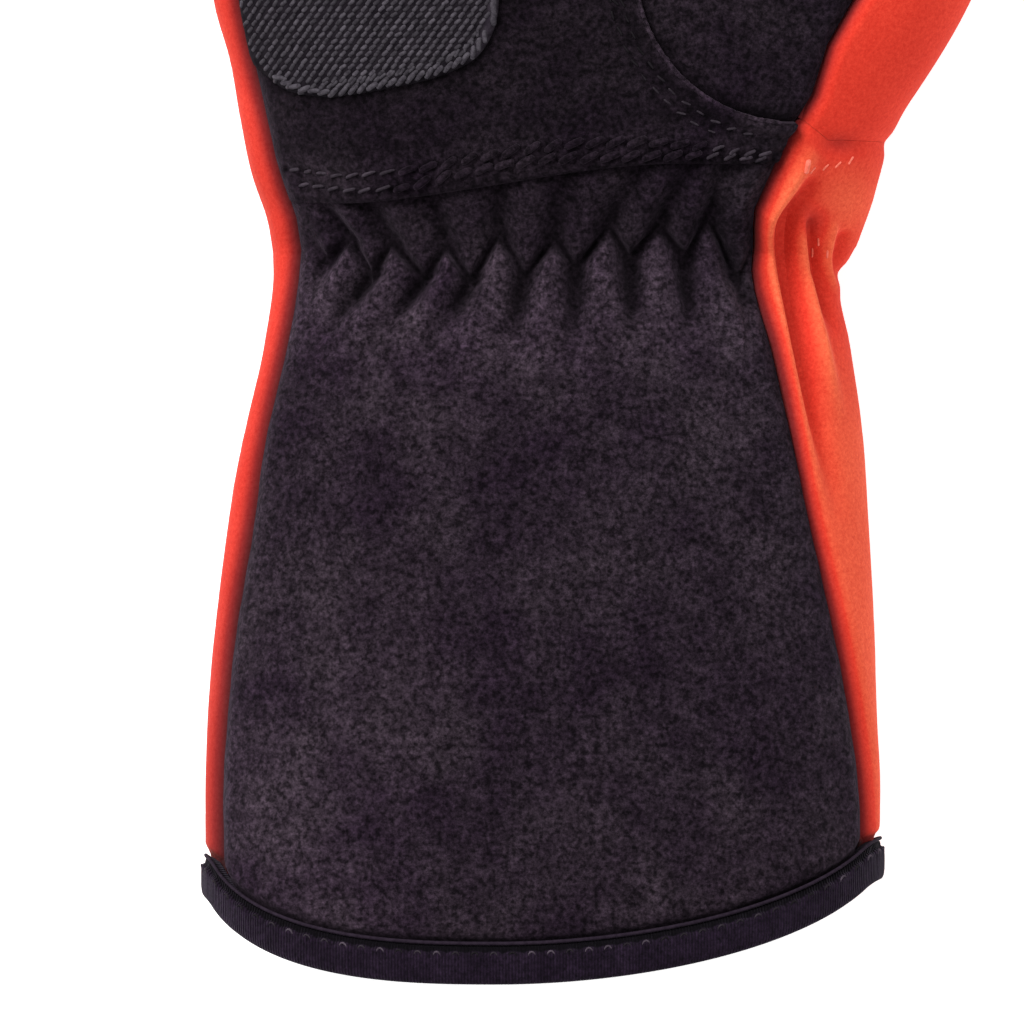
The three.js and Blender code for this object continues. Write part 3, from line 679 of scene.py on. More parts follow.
def clip_surface(points, faces, fields, keep):
    """The part of a surface where keep is positive, cut cleanly along its edge."""
    inside = keep >= 0
    state = inside[faces]
    count = state.sum(1)
    made_faces = [faces[count == 3]]
    mixed = faces[(count == 1) | (count == 2)]
    state = inside[mixed]
    alone = np.where(state.sum(1) == 1, state.argmax(1), (~state).argmax(1))
    row = np.arange(len(mixed))
    a, b, c = mixed[row, alone], mixed[row, (alone + 1) % 3], mixed[row, (alone + 2) % 3]
    pairs = np.sort(np.concatenate([np.stack([a, b], 1), np.stack([a, c], 1)]), 1)
    _, first, back = np.unique(edge_keys(pairs, len(points)), return_index=True, return_inverse=True)
    ends = pairs[first]
    low, high = keep[ends[:, 0]], keep[ends[:, 1]]
    t = np.clip(low / (low - high), 0.02, 0.98)[:, None]
    cut_points = points[ends[:, 0]] * (1 - t) + points[ends[:, 1]] * t
    cut_fields = fields[ends[:, 0]] * (1 - t) + fields[ends[:, 1]] * t
    back = back.reshape(-1)
    ab = len(points) + back[: len(mixed)]
    ac = len(points) + back[len(mixed) :]
    tip = inside[a]
    for corners, chosen in (((a, ab, ac), tip), ((ab, b, c), ~tip), ((ab, c, ac), ~tip)):
        made_faces.append(np.stack(corners, 1)[chosen])
    faces = np.concatenate(made_faces)
    points = np.concatenate([points, cut_points])
    fields = np.concatenate([fields, cut_fields])
    used, faces = np.unique(faces, return_inverse=True)
    return points[used], faces.reshape(-1, 3), fields[used]


# Relief of the cloth


def zigzag(x):
    spots = np.array(sorted(PEAKS + TIPS))
    return np.interp(x, spots[:, 0], spots[:, 1])


def fold_phase(x, y, ends, direction):
    """How far a point lies across its fold, from 0 at one valley to 1 at the next."""
    lines = np.stack([end[0] + end[2] * np.maximum(direction * (y - end[1]), 0) for end in ends])
    after = np.clip((lines <= x[None]).sum(0), 1, len(ends) - 1)
    row = np.arange(len(x))
    low, high = lines[after - 1, row], lines[after, row]
    return np.clip((x - low) / np.maximum(high - low, 0.1), 0, 1)


def gather_relief(x, y):
    """Height of the gathers, the painted shade for how deep in a valley or the crease each point lies (0 to
    1), and how far below the crease.
    """
    line = zigzag(x)
    down = line - y
    lower = 0.5 - 0.5 * np.cos(2 * math.pi * fold_phase(x, y, TIPS, -1))
    upper = 0.5 - 0.5 * np.cos(2 * math.pi * fold_phase(x, y, PEAKS, 1))
    lower_fade = rise(down, 0, 1.8) * fall(down, 2.0, 13.0)
    upper_fade = rise(-down, 0, 1.6) * (1 - 0.45 * rise(-down, 0, 9.0)) * fall(y, 9, 6)
    crease = hill(down, 0, 0.9)
    height = 3.0 * (lower**0.75 - 0.6) * lower_fade + 2.3 * (upper**0.75 - 0.6) * upper_fade - 0.8 * crease
    # Painted shade: deepest in the valleys, along the crease and in a dark line under the tips
    valley_shade = (1 - lower) ** 2 * lower_fade + (1 - upper) ** 1.6 * upper_fade + 0.9 * crease
    valley_shade += 0.7 * (1 - lower) ** 6 * rise(down, 0, 0.6) * fall(down, 2.0, 8.0)
    inside = rise(x, -34.5, 6.0)
    return height * inside, np.clip(valley_shade, 0, 1) * inside, down


def red_fold_height(x, y):
    total = np.zeros(len(x))
    plan = np.stack([x, y], 1)
    near = (x > 20) & (np.abs(y) < 40)
    for height, width, route in RED_FOLDS:
        line = curve_through(route, 5)
        distance = line_distance(plan[near], line)
        start, end = line[0], line[-1]
        reach = np.linalg.norm(end - start)
        along = ((plan[near] - start) @ (end - start)) / reach**2
        fade = rise(along, -0.12, 0.25) * fall(along, 0.6, 0.5)
        total[near] += height * fade * hill(distance, 0, width)
    return total


def waves(points, scale, seed):
    """Broad, soft unevenness between -1 and 1."""
    random = np.random.default_rng(seed)
    total = np.zeros(len(points))
    for _ in range(WAVES):
        way = random.normal(size=3)
        way /= np.linalg.norm(way)
        turns = points @ way / scale * random.uniform(0.7, 1.6)
        total += np.sin(turns * 2 * math.pi + random.uniform(0, 6.28))
    return total / WAVES


# Sewn edges of the hand's black cloth, the red cloth and the fingers: width, depth and swell
SEAM_ROLL = (2.2, 1.0, 0.1)
RED_ROLL = (2.6, 1.7, 0.25)
FINGER_ROLL = (1.4, 0.6, 0.15)


def hem_dip(field):
    """How far the cloth sinks to run under the binding."""
    return 0.8 * fall(field["hem"], 0.2, 1.3)


def root_dip(field, z):
    """The seam across the fingers' roots, above the surface that the glove lies on."""
    return 0.5 * hill(field["roots"], 0, 0.8) * rise(z, 1, 3)


def roll(distance, width, depth, swell):
    """A sewn edge: it swells a little and then turns in at the seam."""
    t = np.clip(distance / width, 0, 1)
    return -depth * (1 - t) ** 2.2 + swell * hill(t, 0.85, 0.4)


# Meshes


def make_object(name, points, faces, material, sharp=None):
    mesh = bpy.data.meshes.new(name)
    mesh.from_pydata([tuple(p) for p in (np.asarray(points) * MM).tolist()], [], [tuple(f) for f in faces])
    mesh.polygons.foreach_set("use_smooth", [True] * len(mesh.polygons))
    mesh.materials.append(material)
    mesh.update()
    piece = bpy.data.objects.new(name, mesh)
    bpy.context.scene.collection.objects.link(piece)
    if sharp is not None:
        marks = mesh.attributes.new("sharp_edge", "BOOLEAN", "EDGE")
        ends = np.empty(len(mesh.edges) * 2, int)
        mesh.edges.foreach_get("vertices", ends)
        keys = edge_keys(ends.reshape(-1, 2), len(points))
        marks.data.foreach_set("value", np.isin(keys, edge_keys(sharp, len(points))))
    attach(piece, "root")
    return piece


def set_values(piece, name, values):
    layer = piece.data.attributes.new(name, "FLOAT", "POINT")
    layer.data.foreach_set("value", np.asarray(values, float))


def boundary_edges(faces):
    edges = triangle_edges(faces)
    _, first, count = np.unique(edge_keys(edges, faces.max()), return_index=True, return_counts=True)
    return edges[first[count == 1]]


def cloth_piece(name, nodes, keep, relief, material, slot, under=CLOTH, gap=0.12):
    """A panel of cloth cut from the skin, with its relief and its thickness."""
    points, faces, fields = clip_surface(SKIN.points, SKIN.faces, SKIN.fields, keep - gap)
    normals = SKIN.normals(points)
    field = {field_name: fields[:, index] for index, field_name in enumerate(FIELD_NAMES)}
    height, tone = relief(points, normals, field)
    outer = points + normals * height[:, None]
    outer[:, 2] = np.maximum(outer[:, 2], 0.0)
    inner = points - normals * under
    flat = (inner[:, 2] < 0.4) & (outer[:, 2] < 0.4)
    inner = np.where(flat[:, None], outer + [0, 0, under], inner)
    edges = boundary_edges(faces)
    count = len(points)
    a, b = edges.T
    wall = np.concatenate([np.stack([b, a, a + count], 1), np.stack([b, a + count, b + count], 1)])
    all_faces = np.concatenate([faces, faces[:, ::-1] + count, wall])
    sharp = np.concatenate([edges, edges + count])
    both_sides = np.concatenate([outer, inner])
    piece = make_object(name, both_sides, all_faces.tolist(), material, sharp)
    # The tone holds painted light and shade as well as the cloth's own tone
    set_values(piece, "tone", np.tile(np.clip(tone, 0.1, 3.0), 2))
    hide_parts(*nodes)
    print(name, len(all_faces), "triangles")
    return outer, faces


def relief_front(points, normals, field):
    x, y, _ = points.T
    seam = np.minimum(field["thumb_seam"], field["little_seam"])
    gathers, valley_shade, down = gather_relief(x, y)
    beside = rise(field["thumb_seam"], 0, 3.0) * rise(field["little_seam"], 0, 2.0)
    height = gathers * beside + roll(seam, *SEAM_ROLL)
    height -= hem_dip(field)
    height += 0.45 * waves(points, 34.0, 3) + 0.12 * waves(points, 9.0, 4)
    # Painted shade in the gathers' valleys and crease, and a painted highlight on the folds' tops just below
    # the crease
    tone = 1.04 - 0.68 * valley_shade * beside
    tone *= 1 + 0.95 * rise(down, 0.3, 1.6) * fall(down, 7.0, 12.0) * (1 - valley_shade)
    tone *= 1 - 0.5 * hill(down, 0, 0.6) * rise(x, -30, 8)
    # A deep pocket between two gathers, with painted shade in it
    pocket = mound(x, y, (22.4, -0.9), (2.0, 3.6))
    tone *= 1 - 0.55 * pocket
    height -= 0.7 * pocket * beside
    # Painted light toward the mouth, on the little finger's side and on the folds below the crease; painted
    # shade at the seams, in the groove at the hem and under the palm's edge
    tone *= 1 + 0.55 * rise(-y, 35, 50) * rise(-x, 8, 26) + 0.22 * rise(-y, 5, 12)
    tone *= (1 - 0.35 * fall(seam, 0, 1.2)) * (1 - 0.75 * fall(field["hem"], 0.5, 0.7))
    tone *= 1 - 0.45 * fall(-field["edge"], 0, 1.6) * lap_fade(x)
    return height, tone


def seam_rows(points, rows, width, pitch):
    """Channels that rows of stitches pull into the cloth."""
    plan = points[:, :2]
    total = np.zeros(len(points))
    near = (points[:, 1] > 3) & (points[:, 1] < 22)
    pull = 0.6 + 0.4 * np.cos(points[near, 0] / pitch * 2 * math.pi)
    for row in rows:
        distance = line_distance(plan[near], curve_through(row, 4))
        total[near] += pull * hill(distance, 0, width)
    return total


def lap_fade(x):
    """The palm's edge melts into the cuff toward the little finger's side."""
    return rise(x, -33.0, 7.0)


def palm_stitch_lost(x):
    """How far the nap hides the stitches: not at both ends, almost whole between them, from 0 to 1."""
    return rise(x, -25.0, 11.0) * fall(x, 14.0, 10.0)


def relief_palm(points, normals, field):
    seam = np.minimum(field["thumb_seam"], field["little_seam"])
    edge = field["edge"]
    channels = seam_rows(points, PALM_ROWS, 0.6, STITCH_PITCH) * (1 - 0.7 * palm_stitch_lost(points[:, 0]))
    height = roll(seam, *SEAM_ROLL)
    lap = lap_fade(points[:, 0])
    height += (0.2 + 0.8 * lap) * fall(edge, 4.5, 12.0) - 0.5 * channels
    height -= 0.35 * lap * fall(edge, 0, 0.5)
    outside = -field["thumb"]
    # A rolled edge along the thumb's heel, and a shallow channel and ridge beside it
    rolled = np.sqrt(np.maximum(1 - (np.clip(0.8 - outside, 0, 0.8) / 0.8) ** 2, 0))
    height += 0.7 * rolled * hill(np.maximum(outside - 0.8, 0), 0, 1.0) - 0.35 * (1 - rolled)
    height -= 0.25 * hill(outside, 2.4, 0.5) + 0.25 * hill(outside, 4.0, 0.5)
    height += 0.3 * waves(points, 30.0, 5) + 0.08 * waves(points, 8.0, 6)
    # Painted shade over the whole palm, which faces away from the light; painted light where the palm laps
    # over the cuff and a painted highlight on the rolled edge
    band = fall(np.abs(edge - 3.2), 1.5, 1.5)
    tone = 0.58 + 0.3 * band + 0.4 * hill(outside, 0.45, 0.4)
    # Painted shade in the channel beside the rolled edge, in the stitch channels and at the seams, and a
    # painted shadow round the grip patch
    tone -= 0.2 * hill(outside, 2.2, 1.2)
    tone *= 1 - 0.35 * channels
    tone *= 1 - 0.5 * hill(np.minimum(field["grip"], 0), 0, 1.1)
    tone *= 1 - 0.3 * fall(seam, 0, 1.2)
    return height, tone


def relief_thumb(points, normals, field):
    inside = field["thumb"]
    height = roll(field["thumb_seam"], *SEAM_ROLL)
    height -= 0.45 * fall(inside, -0.3, 1.8) + 0.5 * fall(inside, -0.6, 0.6)
    height += 0.25 * waves(points, 28.0, 7)
    # Painted shade: the thumb's piece darker all over, and a painted shadow under the palm's rolled edge
    tone = 0.82 - 0.5 * fall(inside, 0, 2.4)
    return height, tone


def relief_red(points, normals, field):
    x, y, z = points.T
    outside = -field["front"]
    up = rise(z, 4, 6)
    folds = red_fold_height(x, y) * up
    height = roll(outside, *RED_ROLL) + 1.15 * folds
    seam = np.abs(field["thumb"])
    height -= 0.6 * hill(seam, 0, 1.2) * up
    height -= 0.2 * hill(y, -2.7, 1.2) * rise(x, 30, 4) * up
    height += 0.5 * waves(points, 36.0, 8) * rise(outside, 0, 4) * up
    height -= hem_dip(field)
    height -= root_dip(field, z)
    # Painted highlights on the folds' ridges, in orange through the colour ramp, and painted shade in their
    # valleys
    tone = 1 + 0.25 * np.clip(folds, 0, 1.2) - 0.1 * np.clip(-folds, 0, 1.2)
    # Painted light beside the cuff and on a bulge by the thumb; painted shade on the little finger's side and
    # a painted shadow along the seams
    tone *= 1 + 0.16 * rise(-y, 8, 20) * rise(x, 20, 5)
    tone *= 1 + 0.16 * mound(x, y, (39.0, 6.5), (4.5, 4.5))
    tone *= np.where(x < 0, 0.84 - 0.12 * rise(-y, 25, 40), 1.0)
    tone *= 1 - 0.74 * fall(outside, -0.1, 2.0)
    # A dent and a pocket in the folds beside the thumb, with painted shade in them and in the groove at the
    # hem
    dent = mound(x, y, (38.0, 13.8), (2.2, 1.2))
    pocket = mound(x, y, (34.1, 3.6), (1.8, 1.8))
    tone *= (1 - 0.3 * dent) * (1 - 0.3 * pocket) * (1 - 0.5 * fall(field["hem"], 0.3, 0.9))
    height -= (0.5 * dent + 0.6 * pocket) * up
    return height, tone


def relief_finger(points, normals, field):
    outside = np.abs(field["front"])
    height = roll(outside, *FINGER_ROLL)
    height -= root_dip(field, points[:, 2])
    height += 0.2 * waves(points, 16.0, 9) * rise(points[:, 2], 1, 3)
    # Painted shade along the seams
    return height, 1 - 0.4 * fall(outside, 0, 1.2)


# Materials


class Shader:
    """Nodes of one material, with short ways to add and join them."""

    def __init__(self, name, roughness, sheen=0.0, sheen_roughness=0.5, tint=(1, 1, 1), specular=0.3):
        self.material = bpy.data.materials.new(name)
        self.material.use_nodes = True
        self.nodes = self.material.node_tree.nodes
        self.links = self.material.node_tree.links
        self.surface = self.nodes["Principled BSDF"]
        for socket, value in (
            ("Roughness", roughness), ("Sheen Weight", sheen), ("Sheen Roughness", sheen_roughness),
            ("Sheen Tint", (*tint, 1)), ("Specular IOR Level", specular),
        ):
            self.surface.inputs[socket].default_value = value
        self.place = self.add("TexCoord").outputs["Object"]

    def add(self, kind, inputs=(), **settings):
        node = self.nodes.new(f"ShaderNode{kind}")
        for name, value in settings.items():
            setattr(node, name, value)
        for socket, value in inputs:
            if isinstance(value, bpy.types.NodeSocket):
                self.links.new(value, node.inputs[socket])
            else:
                node.inputs[socket].default_value = value
        return node

    def noise(self, scale, detail=3.0, rough=0.55):
        inputs = (("Scale", scale), ("Detail", detail), ("Roughness", rough), ("Vector", self.place))
        return self.add("TexNoise", inputs).outputs["Fac"]

    def ribs(self, pitch):
        """Fine ribs across the band, from how far round it each point lies."""
        around = self.add("Attribute", attribute_name="around").outputs["Fac"]
        turns = self.add("Math", ((0, around), (1, 2 * math.pi / pitch)), operation="MULTIPLY")
        wave = self.add("Math", ((0, turns.outputs[0]),), operation="SINE")
        spread = self.add("Math", ((0, wave.outputs[0]), (1, 0.5), (2, 0.5)), operation="MULTIPLY_ADD")
        return spread.outputs[0]

    def colours(self, value, low, high, start=0.35, end=0.65):
        return self.ramp(value, ((start, low), (end, high)))

    def ramp(self, value, stops):
        ramp = self.add("ValToRGB", (("Fac", value),))
        elements = ramp.color_ramp.elements
        while len(elements) < len(stops):
            elements.new(1.0)
        for element, (place, colour) in zip(elements, stops):
            element.position = place
            element.color = (*colour, 1)
        return ramp.outputs["Color"]

    def multiply(self, first, *others):
        for second in others:
            inputs = ((0, 1.0), (6, first), (7, second))
            first = self.add("Mix", inputs, data_type="RGBA", blend_type="MULTIPLY").outputs[2]
        return first

    def lit_and_shaded_colours(self, stops):
        """A colour for every tone, giving lit and shaded copies of one cloth: stops are a tone and its
        colour.
        """
        tone = self.add("Attribute", attribute_name="tone").outputs["Fac"]
        share = self.add("Math", ((0, tone), (1, 0.5)), operation="MULTIPLY")
        return self.ramp(share.outputs[0], [(place / 2, colour) for place, colour in stops])

    def paint(self, colour, toned=False):
        if toned:
            colour = self.multiply(colour, self.add("Attribute", attribute_name="tone").outputs["Color"])
        self.links.new(colour, self.surface.inputs["Base Color"])

    def bump(self, value, distance):
        node = self.add("Bump", (("Distance", distance * MM), ("Strength", 1.0), ("Height", value)))
        previous = self.surface.inputs["Normal"]
        if previous.is_linked:
            self.links.new(previous.links[0].from_socket, node.inputs["Normal"])
        self.links.new(node.outputs["Normal"], previous)


def greys(low, high):
    return (low, low, low), (high, high, high)


def suede():
    shader = Shader("black_suede", 0.95, 0.05, 0.5, (0.95, 0.72, 0.95), 0.03)
    broad = shader.colours(shader.noise(75, 5, 0.6), (0.0074, 0.0044, 0.0077), (0.0146, 0.0104, 0.0140))
    grain = shader.colours(shader.noise(1250, 2, 0.6), (0.36, 0.36, 0.36), (1.84, 1.8, 1.84), 0.34, 0.66)
    nap = shader.colours(shader.noise(2300, 3, 0.8), *greys(0.54, 1.48), 0.36, 0.64)
    fleck = shader.colours(shader.noise(420, 4, 0.65), *greys(0.74, 1.27))
    shader.paint(shader.multiply(broad, shader.multiply(grain, nap), fleck), toned=True)
    shader.bump(shader.noise(420, 4, 0.65), 0.25)
    shader.bump(shader.noise(1150, 4, 0.75), 0.16)
    return shader.material


def red_fabric():
    shader = Shader("red_fabric", 0.85, 0.06, 0.4, (1.0, 0.5, 0.32), 0.1)
    # Lit and shaded copies of the red: dark crimson where shade is painted, orange where highlights are
    # painted
    base = shader.lit_and_shaded_colours((
        (0.2, (0.030, 0.008, 0.010)), (0.5, (0.22, 0.014, 0.013)), (0.75, (0.51, 0.031, 0.020)),
        (1.0, (0.67, 0.040, 0.021)), (1.3, (0.80, 0.130, 0.056)),
    ))
    broad = shader.colours(shader.noise(60), (0.94, 0.88, 0.88), (1.04, 1.1, 1.1))
    grain = shader.colours(shader.noise(1900, 4, 0.85), (0.86, 0.6, 0.6), (1.12, 1.4, 1.4), 0.32, 0.68)
    shader.paint(shader.multiply(base, broad, grain))
    shader.bump(shader.noise(2400, 3, 0.7), 0.06)
    return shader.material


def woven():
    shader = Shader("woven_grip", 0.9, 0.0, 0.5, (1, 1, 1), 0.03)
    weave = shader.colours(shader.noise(900), (0.006, 0.0046, 0.0066), (0.013, 0.0104, 0.0136))
    shader.paint(weave, toned=True)
    shader.bump(shader.noise(2400), 0.08)
    return shader.material


def knit():
    shader = Shader("ribbed_knit", 0.9, 0.06, 0.5, (0.85, 0.75, 0.95), 0.05)
    grain = shader.colours(shader.noise(1600, 4, 0.85), *greys(0.25, 1.8))
    broad = shader.colours(shader.noise(300), (0.0068, 0.0034, 0.0086), (0.0112, 0.0062, 0.0138))
    ribs = shader.ribs(KNIT_PITCH)
    # Painted shade in the grooves between the ribs and painted light on their tops
    rib_shade = shader.colours(ribs, *greys(0.7, 1.25), 0.0, 1.0)
    shader.paint(shader.multiply(broad, grain, rib_shade), toned=True)
    shader.bump(ribs, 0.1)
    shader.bump(shader.noise(2600), 0.08)
    return shader.material


def thread(name, low, high):
    shader = Shader(name, 0.8, 0.0, 0.4, (1, 1, 1), 0.08)
    shader.paint(shader.colours(shader.noise(1500), low, high), toned=True)
    return shader.material


BLACK = suede()
RED = red_fabric()
WOVEN = woven()
KNIT = knit()
THREAD = thread("grey_thread", (0.048, 0.036, 0.049), (0.092, 0.071, 0.092))
GRIP_THREAD = thread("grip_thread", (0.027, 0.023, 0.029), (0.060, 0.053, 0.063))
PIPING_CLOTH = thread("piping_cloth", (0.0125, 0.0075, 0.014), (0.0215, 0.014, 0.0235))
RED_THREAD = thread("red_thread", (0.70, 0.13, 0.08), (0.85, 0.20, 0.14))

SKIN = Skin()
for from_y, to_y, above, facing_up in REFINED:
    centre = SKIN.points[SKIN.faces].mean(1)
    facing = SKIN.normals(centre)[:, 2]
    banded = (centre[:, 1] > from_y) & (centre[:, 1] < to_y)
    SKIN.refine(banded & (facing > facing_up) & (centre[:, 2] > above))
SKIN.fields = all_fields(SKIN.points)
print("skin", len(SKIN.points), len(SKIN.faces))


def both(*fields):
    return np.minimum.reduce(fields)


front, _, _, edge, thumb, hem, roots, grip = SKIN.fields.T
tucked = hem + HEM_TUCK
above_roots = -roots + 12
BLACK_CLOTH = (BLACK, "black_suede")
RED_CLOTH = (RED, "red_fabric")
PANELS = (
    ("cuff_front_suede", "cuff_front", both(front, -edge + 2.0, tucked), relief_front, BLACK_CLOTH),
    ("palm_suede", "palm_panel", both(front, edge, -thumb, -roots), relief_palm, BLACK_CLOTH),
    ("thumb_front_suede", "thumb_front", both(front, thumb + 0.9, above_roots), relief_thumb, BLACK_CLOTH),
    ("back_fabric", "back_panel", both(-front, -thumb + 0.1, -roots, tucked), relief_red, RED_CLOTH),
    ("thumb_back_fabric", "thumb_back", both(-front, thumb + 0.1, above_roots), relief_red, RED_CLOTH),
)
SURFACES = {}
for name, node, region, relief, cloth in PANELS:
    SURFACES[node] = cloth_piece(name, [node], region, relief, *cloth)


def finger_sides(index):
    finger = FINGERS[index]
    run = SKIN.points[:, 1] - PALM_LENGTH
    x = SKIN.points[:, 0]
    sides = []
    for other, sign in ((index - 1, 1), (index + 1, -1)):
        if 0 <= other < len(FINGERS):
            near = FINGERS[other]
            lean = math.tan(math.radians((finger["lean"] + near["lean"]) / 2))
            middle = (finger["at"] + near["at"]) / 4 * PALM_WIDTH
        else:
            lean = 0.2 * sign
            middle = PALM_WIDTH * 0.6 * sign
        sides.append(sign * (middle + lean * run - x))
    return both(*sides)


for index, finger in enumerate(FINGERS):
    region = both(roots, finger_sides(index), -thumb if finger["name"] == "index" else roots)
    for side, sign, cloth in (("front", 1, BLACK_CLOTH), ("back", -1, RED_CLOTH)):
        node = f"{finger['name']}_{side}"
        cloth_piece(f"{node}_cloth", [node], both(region, sign * front), relief_finger, *cloth)


# The grip patch


def relief_grip(points, normals, field):
    edge_distance = field["grip"]
    height = 0.95 * np.sqrt(np.clip(edge_distance / 0.9, 0, 1)) + 0.12 * waves(points, 22.0, 12)
    border = rise(points[:, 0] - GRIP_RIGHT, -4.5, 2.0)
    height += (0.3 * hill(edge_distance, 0.7, 0.5) - 0.25 * hill(edge_distance, 1.9, 0.4)) * border
    return height, 1 + 4.5 * border * hill(edge_distance, 0.65, 0.5)


SURFACES["grip_patch"] = cloth_piece(
    "grip_cloth", ["grip_patch"], both(grip, front), relief_grip, WOVEN, "woven_grip", under=-0.1, gap=0.0
)

# The binding and the piping at the hem

AROUND = 960
COLUMNS = np.arange(AROUND)
SCALLOPS = 84
PIPING_PLACE = 5.85
PIPING_RADIUS = 0.25
PIPING_PROUD = 0.05
PIPING_SIDES = 8
RING_Y = np.arange(-101.0, -68.0, 1.0)


def outline_columns(outline):
    """The outline's points, spread evenly round it, from the thumb's side."""
    closed = np.concatenate([outline, outline[:1]])
    start = int(np.argmax(closed[:, 0]))
    closed = np.concatenate([closed[start:-1], closed[: start + 1]])
    length = length_along(closed)
    share = np.linspace(0, length[-1], AROUND, endpoint=False)
    return np.stack([np.interp(share, length, closed[:, 0]), np.interp(share, length, closed[:, 1])], 1)


RING_TABLE = np.stack([outline_columns(section_outline(y)[0]) for y in RING_Y])


def ring_points(height, proud):
    """Points round the glove at a height above the mouth, standing proud of the skin."""
    y = np.full(AROUND, -CUFF_LENGTH) + height
    for _ in range(4):
        place = np.clip((y - RING_Y[0]) / (RING_Y[1] - RING_Y[0]), 0, len(RING_Y) - 1.001)
        row = place.astype(int)
        t = (place - row)[:, None]
        spot = RING_TABLE[row, COLUMNS] * (1 - t) + RING_TABLE[row + 1, COLUMNS] * t
        y = -CUFF_LENGTH + hem_rise(spot[:, 0]) + height
    tangent = unit(np.roll(spot, -3, 0) - np.roll(spot, 3, 0))
    out = np.stack([-tangent[:, 1], tangent[:, 0]], 1)
    middle = spot.mean(0)
    out *= np.sign(((spot - middle) * out).sum(1))[:, None]
    spot = spot + out * np.broadcast_to(proud, AROUND)[:, None]
    return np.stack([spot[:, 0], y, np.maximum(spot[:, 1], 0.02)], 1)


def ring_piece(name, node, profile, material, tones=1.0):
    """A closed band round the mouth; profile rows are height and how far it stands proud."""
    rings = np.concatenate([ring_points(height, proud) for height, proud in profile])
    rows = len(profile)
    after = (COLUMNS + 1) % AROUND
    faces = []
    for row in range(rows):
        low = row * AROUND
        high = (row + 1) % rows * AROUND
        faces.append(np.stack([low + COLUMNS, low + after, high + after, high + COLUMNS], 1))
    faces = np.concatenate(faces)
    piece = make_object(name, rings, faces[:, ::-1].tolist(), material)
    set_values(piece, "around", np.tile(length_along(rings[:AROUND]), rows))
    set_values(piece, "tone", np.repeat(np.broadcast_to(tones, rows), AROUND))
    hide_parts(node)
    print(name, len(faces) * 2, "triangles")


scallop = np.abs(np.sin(COLUMNS / AROUND * math.pi * SCALLOPS))
binding_profile = [
    (0.65, -0.2), (0.4, 0.15), (0.55, 0.45), (1.0, 0.66), (1.8, 0.74), (2.8, 0.73),
    (3.6, 0.70 + 0.03 * scallop), (4.2 + 0.25 * scallop, 0.62 + 0.12 * scallop),
    (4.45 + 0.3 * scallop, 0.46 + 0.15 * scallop), (4.65 + 0.3 * scallop, 0.18), (5.4, 0.04),
    (5.6, -0.5), (5.6, -1.4), (4.0, -1.6), (1.8, -1.5), (0.9, -0.9),
]
# Painted shade in the groove between the binding and the piping
binding_groove_shade = [1, 1, 1, 1, 1, 1, 1, 1.05, 0.9, 0.15, 0.1, 0.1, 1, 1, 1, 1]
ring_piece("binding_knit", "hem_binding", binding_profile, KNIT, binding_groove_shade)
piping_profile = []
for step in reversed(range(PIPING_SIDES)):
    turn = step / PIPING_SIDES * 2 * math.pi
    height = PIPING_PLACE + PIPING_RADIUS * math.sin(turn)
    piping_profile.append((height, PIPING_PROUD + PIPING_RADIUS * math.cos(turn)))
ring_piece("piping_cord", "hem_piping", piping_profile, PIPING_CLOTH)

# Threads


# A height above the whole glove
ABOVE = 90.0


class Cover:
    """Finds a finished surface from above."""

    def __init__(self, *names):
        points = []
        faces = []
        for name in names:
            outer, triangles = SURFACES[name]
            faces.append(triangles + sum(len(part) for part in points))
            points.append(outer)
        self.tree = BVHTree.FromPolygons(np.concatenate(points).tolist(), np.concatenate(faces).tolist())

    def at(self, x, y):
        spot, normal, _, _ = self.tree.ray_cast(Vector((x, y, ABOVE)), Vector((0, 0, -1)))
        return (None, None) if spot is None else (np.array(spot), np.array(normal))


THREAD_SIDES = 7
THREAD_TAPER = (0.3, 0.8, 1.0, 1.0, 1.0, 0.8, 0.3)


def thread_mesh(strands):
    """Short rounded strands, each a path of seven points, the surface's normal, a radius and a tone."""
    points = []
    faces = []
    tones = []
    turn = np.linspace(0, 2 * math.pi, THREAD_SIDES, endpoint=False)
    rings = len(THREAD_TAPER)
    for path, normal, radius, tone in strands:
        first = len(points) * THREAD_SIDES
        ways = np.gradient(path, axis=0)
        for middle, way, thick in zip(path, ways, THREAD_TAPER):
            side = np.cross(normal, way)
            side /= np.linalg.norm(side)
            up = np.cross(way, side)
            up /= np.linalg.norm(up)
            circle = side[None] * np.cos(turn)[:, None] + up[None] * np.sin(turn)[:, None]
            points.append(middle + circle * radius * thick)
        for ring in range(rings - 1):
            low = first + ring * THREAD_SIDES
            for step in range(THREAD_SIDES):
                after = (step + 1) % THREAD_SIDES
                faces.append((low + step, low + THREAD_SIDES + step, low + THREAD_SIDES + after, low + after))
        faces.append(tuple(first + step for step in range(THREAD_SIDES)))
        last = first + (rings - 1) * THREAD_SIDES
        faces.append(tuple(last + step for step in reversed(range(THREAD_SIDES))))
        tones += [tone] * (rings * THREAD_SIDES)
    return np.concatenate(points), faces, tones


STRAND_SHARES = np.array([-1.0, -0.85, -0.45, 0.0, 0.45, 0.85, 1.0])


def straight_strand(point, normal, angle, length, radius, sink, arch, tone=1.0):
    """A strand lying on a surface, sunk a little into it at the ends."""
    along = np.array([math.cos(angle), math.sin(angle), 0.0])
    along -= normal * (along @ normal)
    along /= np.linalg.norm(along)
    shares = STRAND_SHARES[:, None]
    path = point + along * shares * length / 2 + normal * (arch * (1 - shares**2) - sink)
    return path, normal, radius, tone


def aside(line, away):
    """A line in plan, moved to the left of its way."""
    way = unit(np.gradient(line, axis=0))
    return line - np.stack([way[:, 1], -way[:, 0]], 1) * away


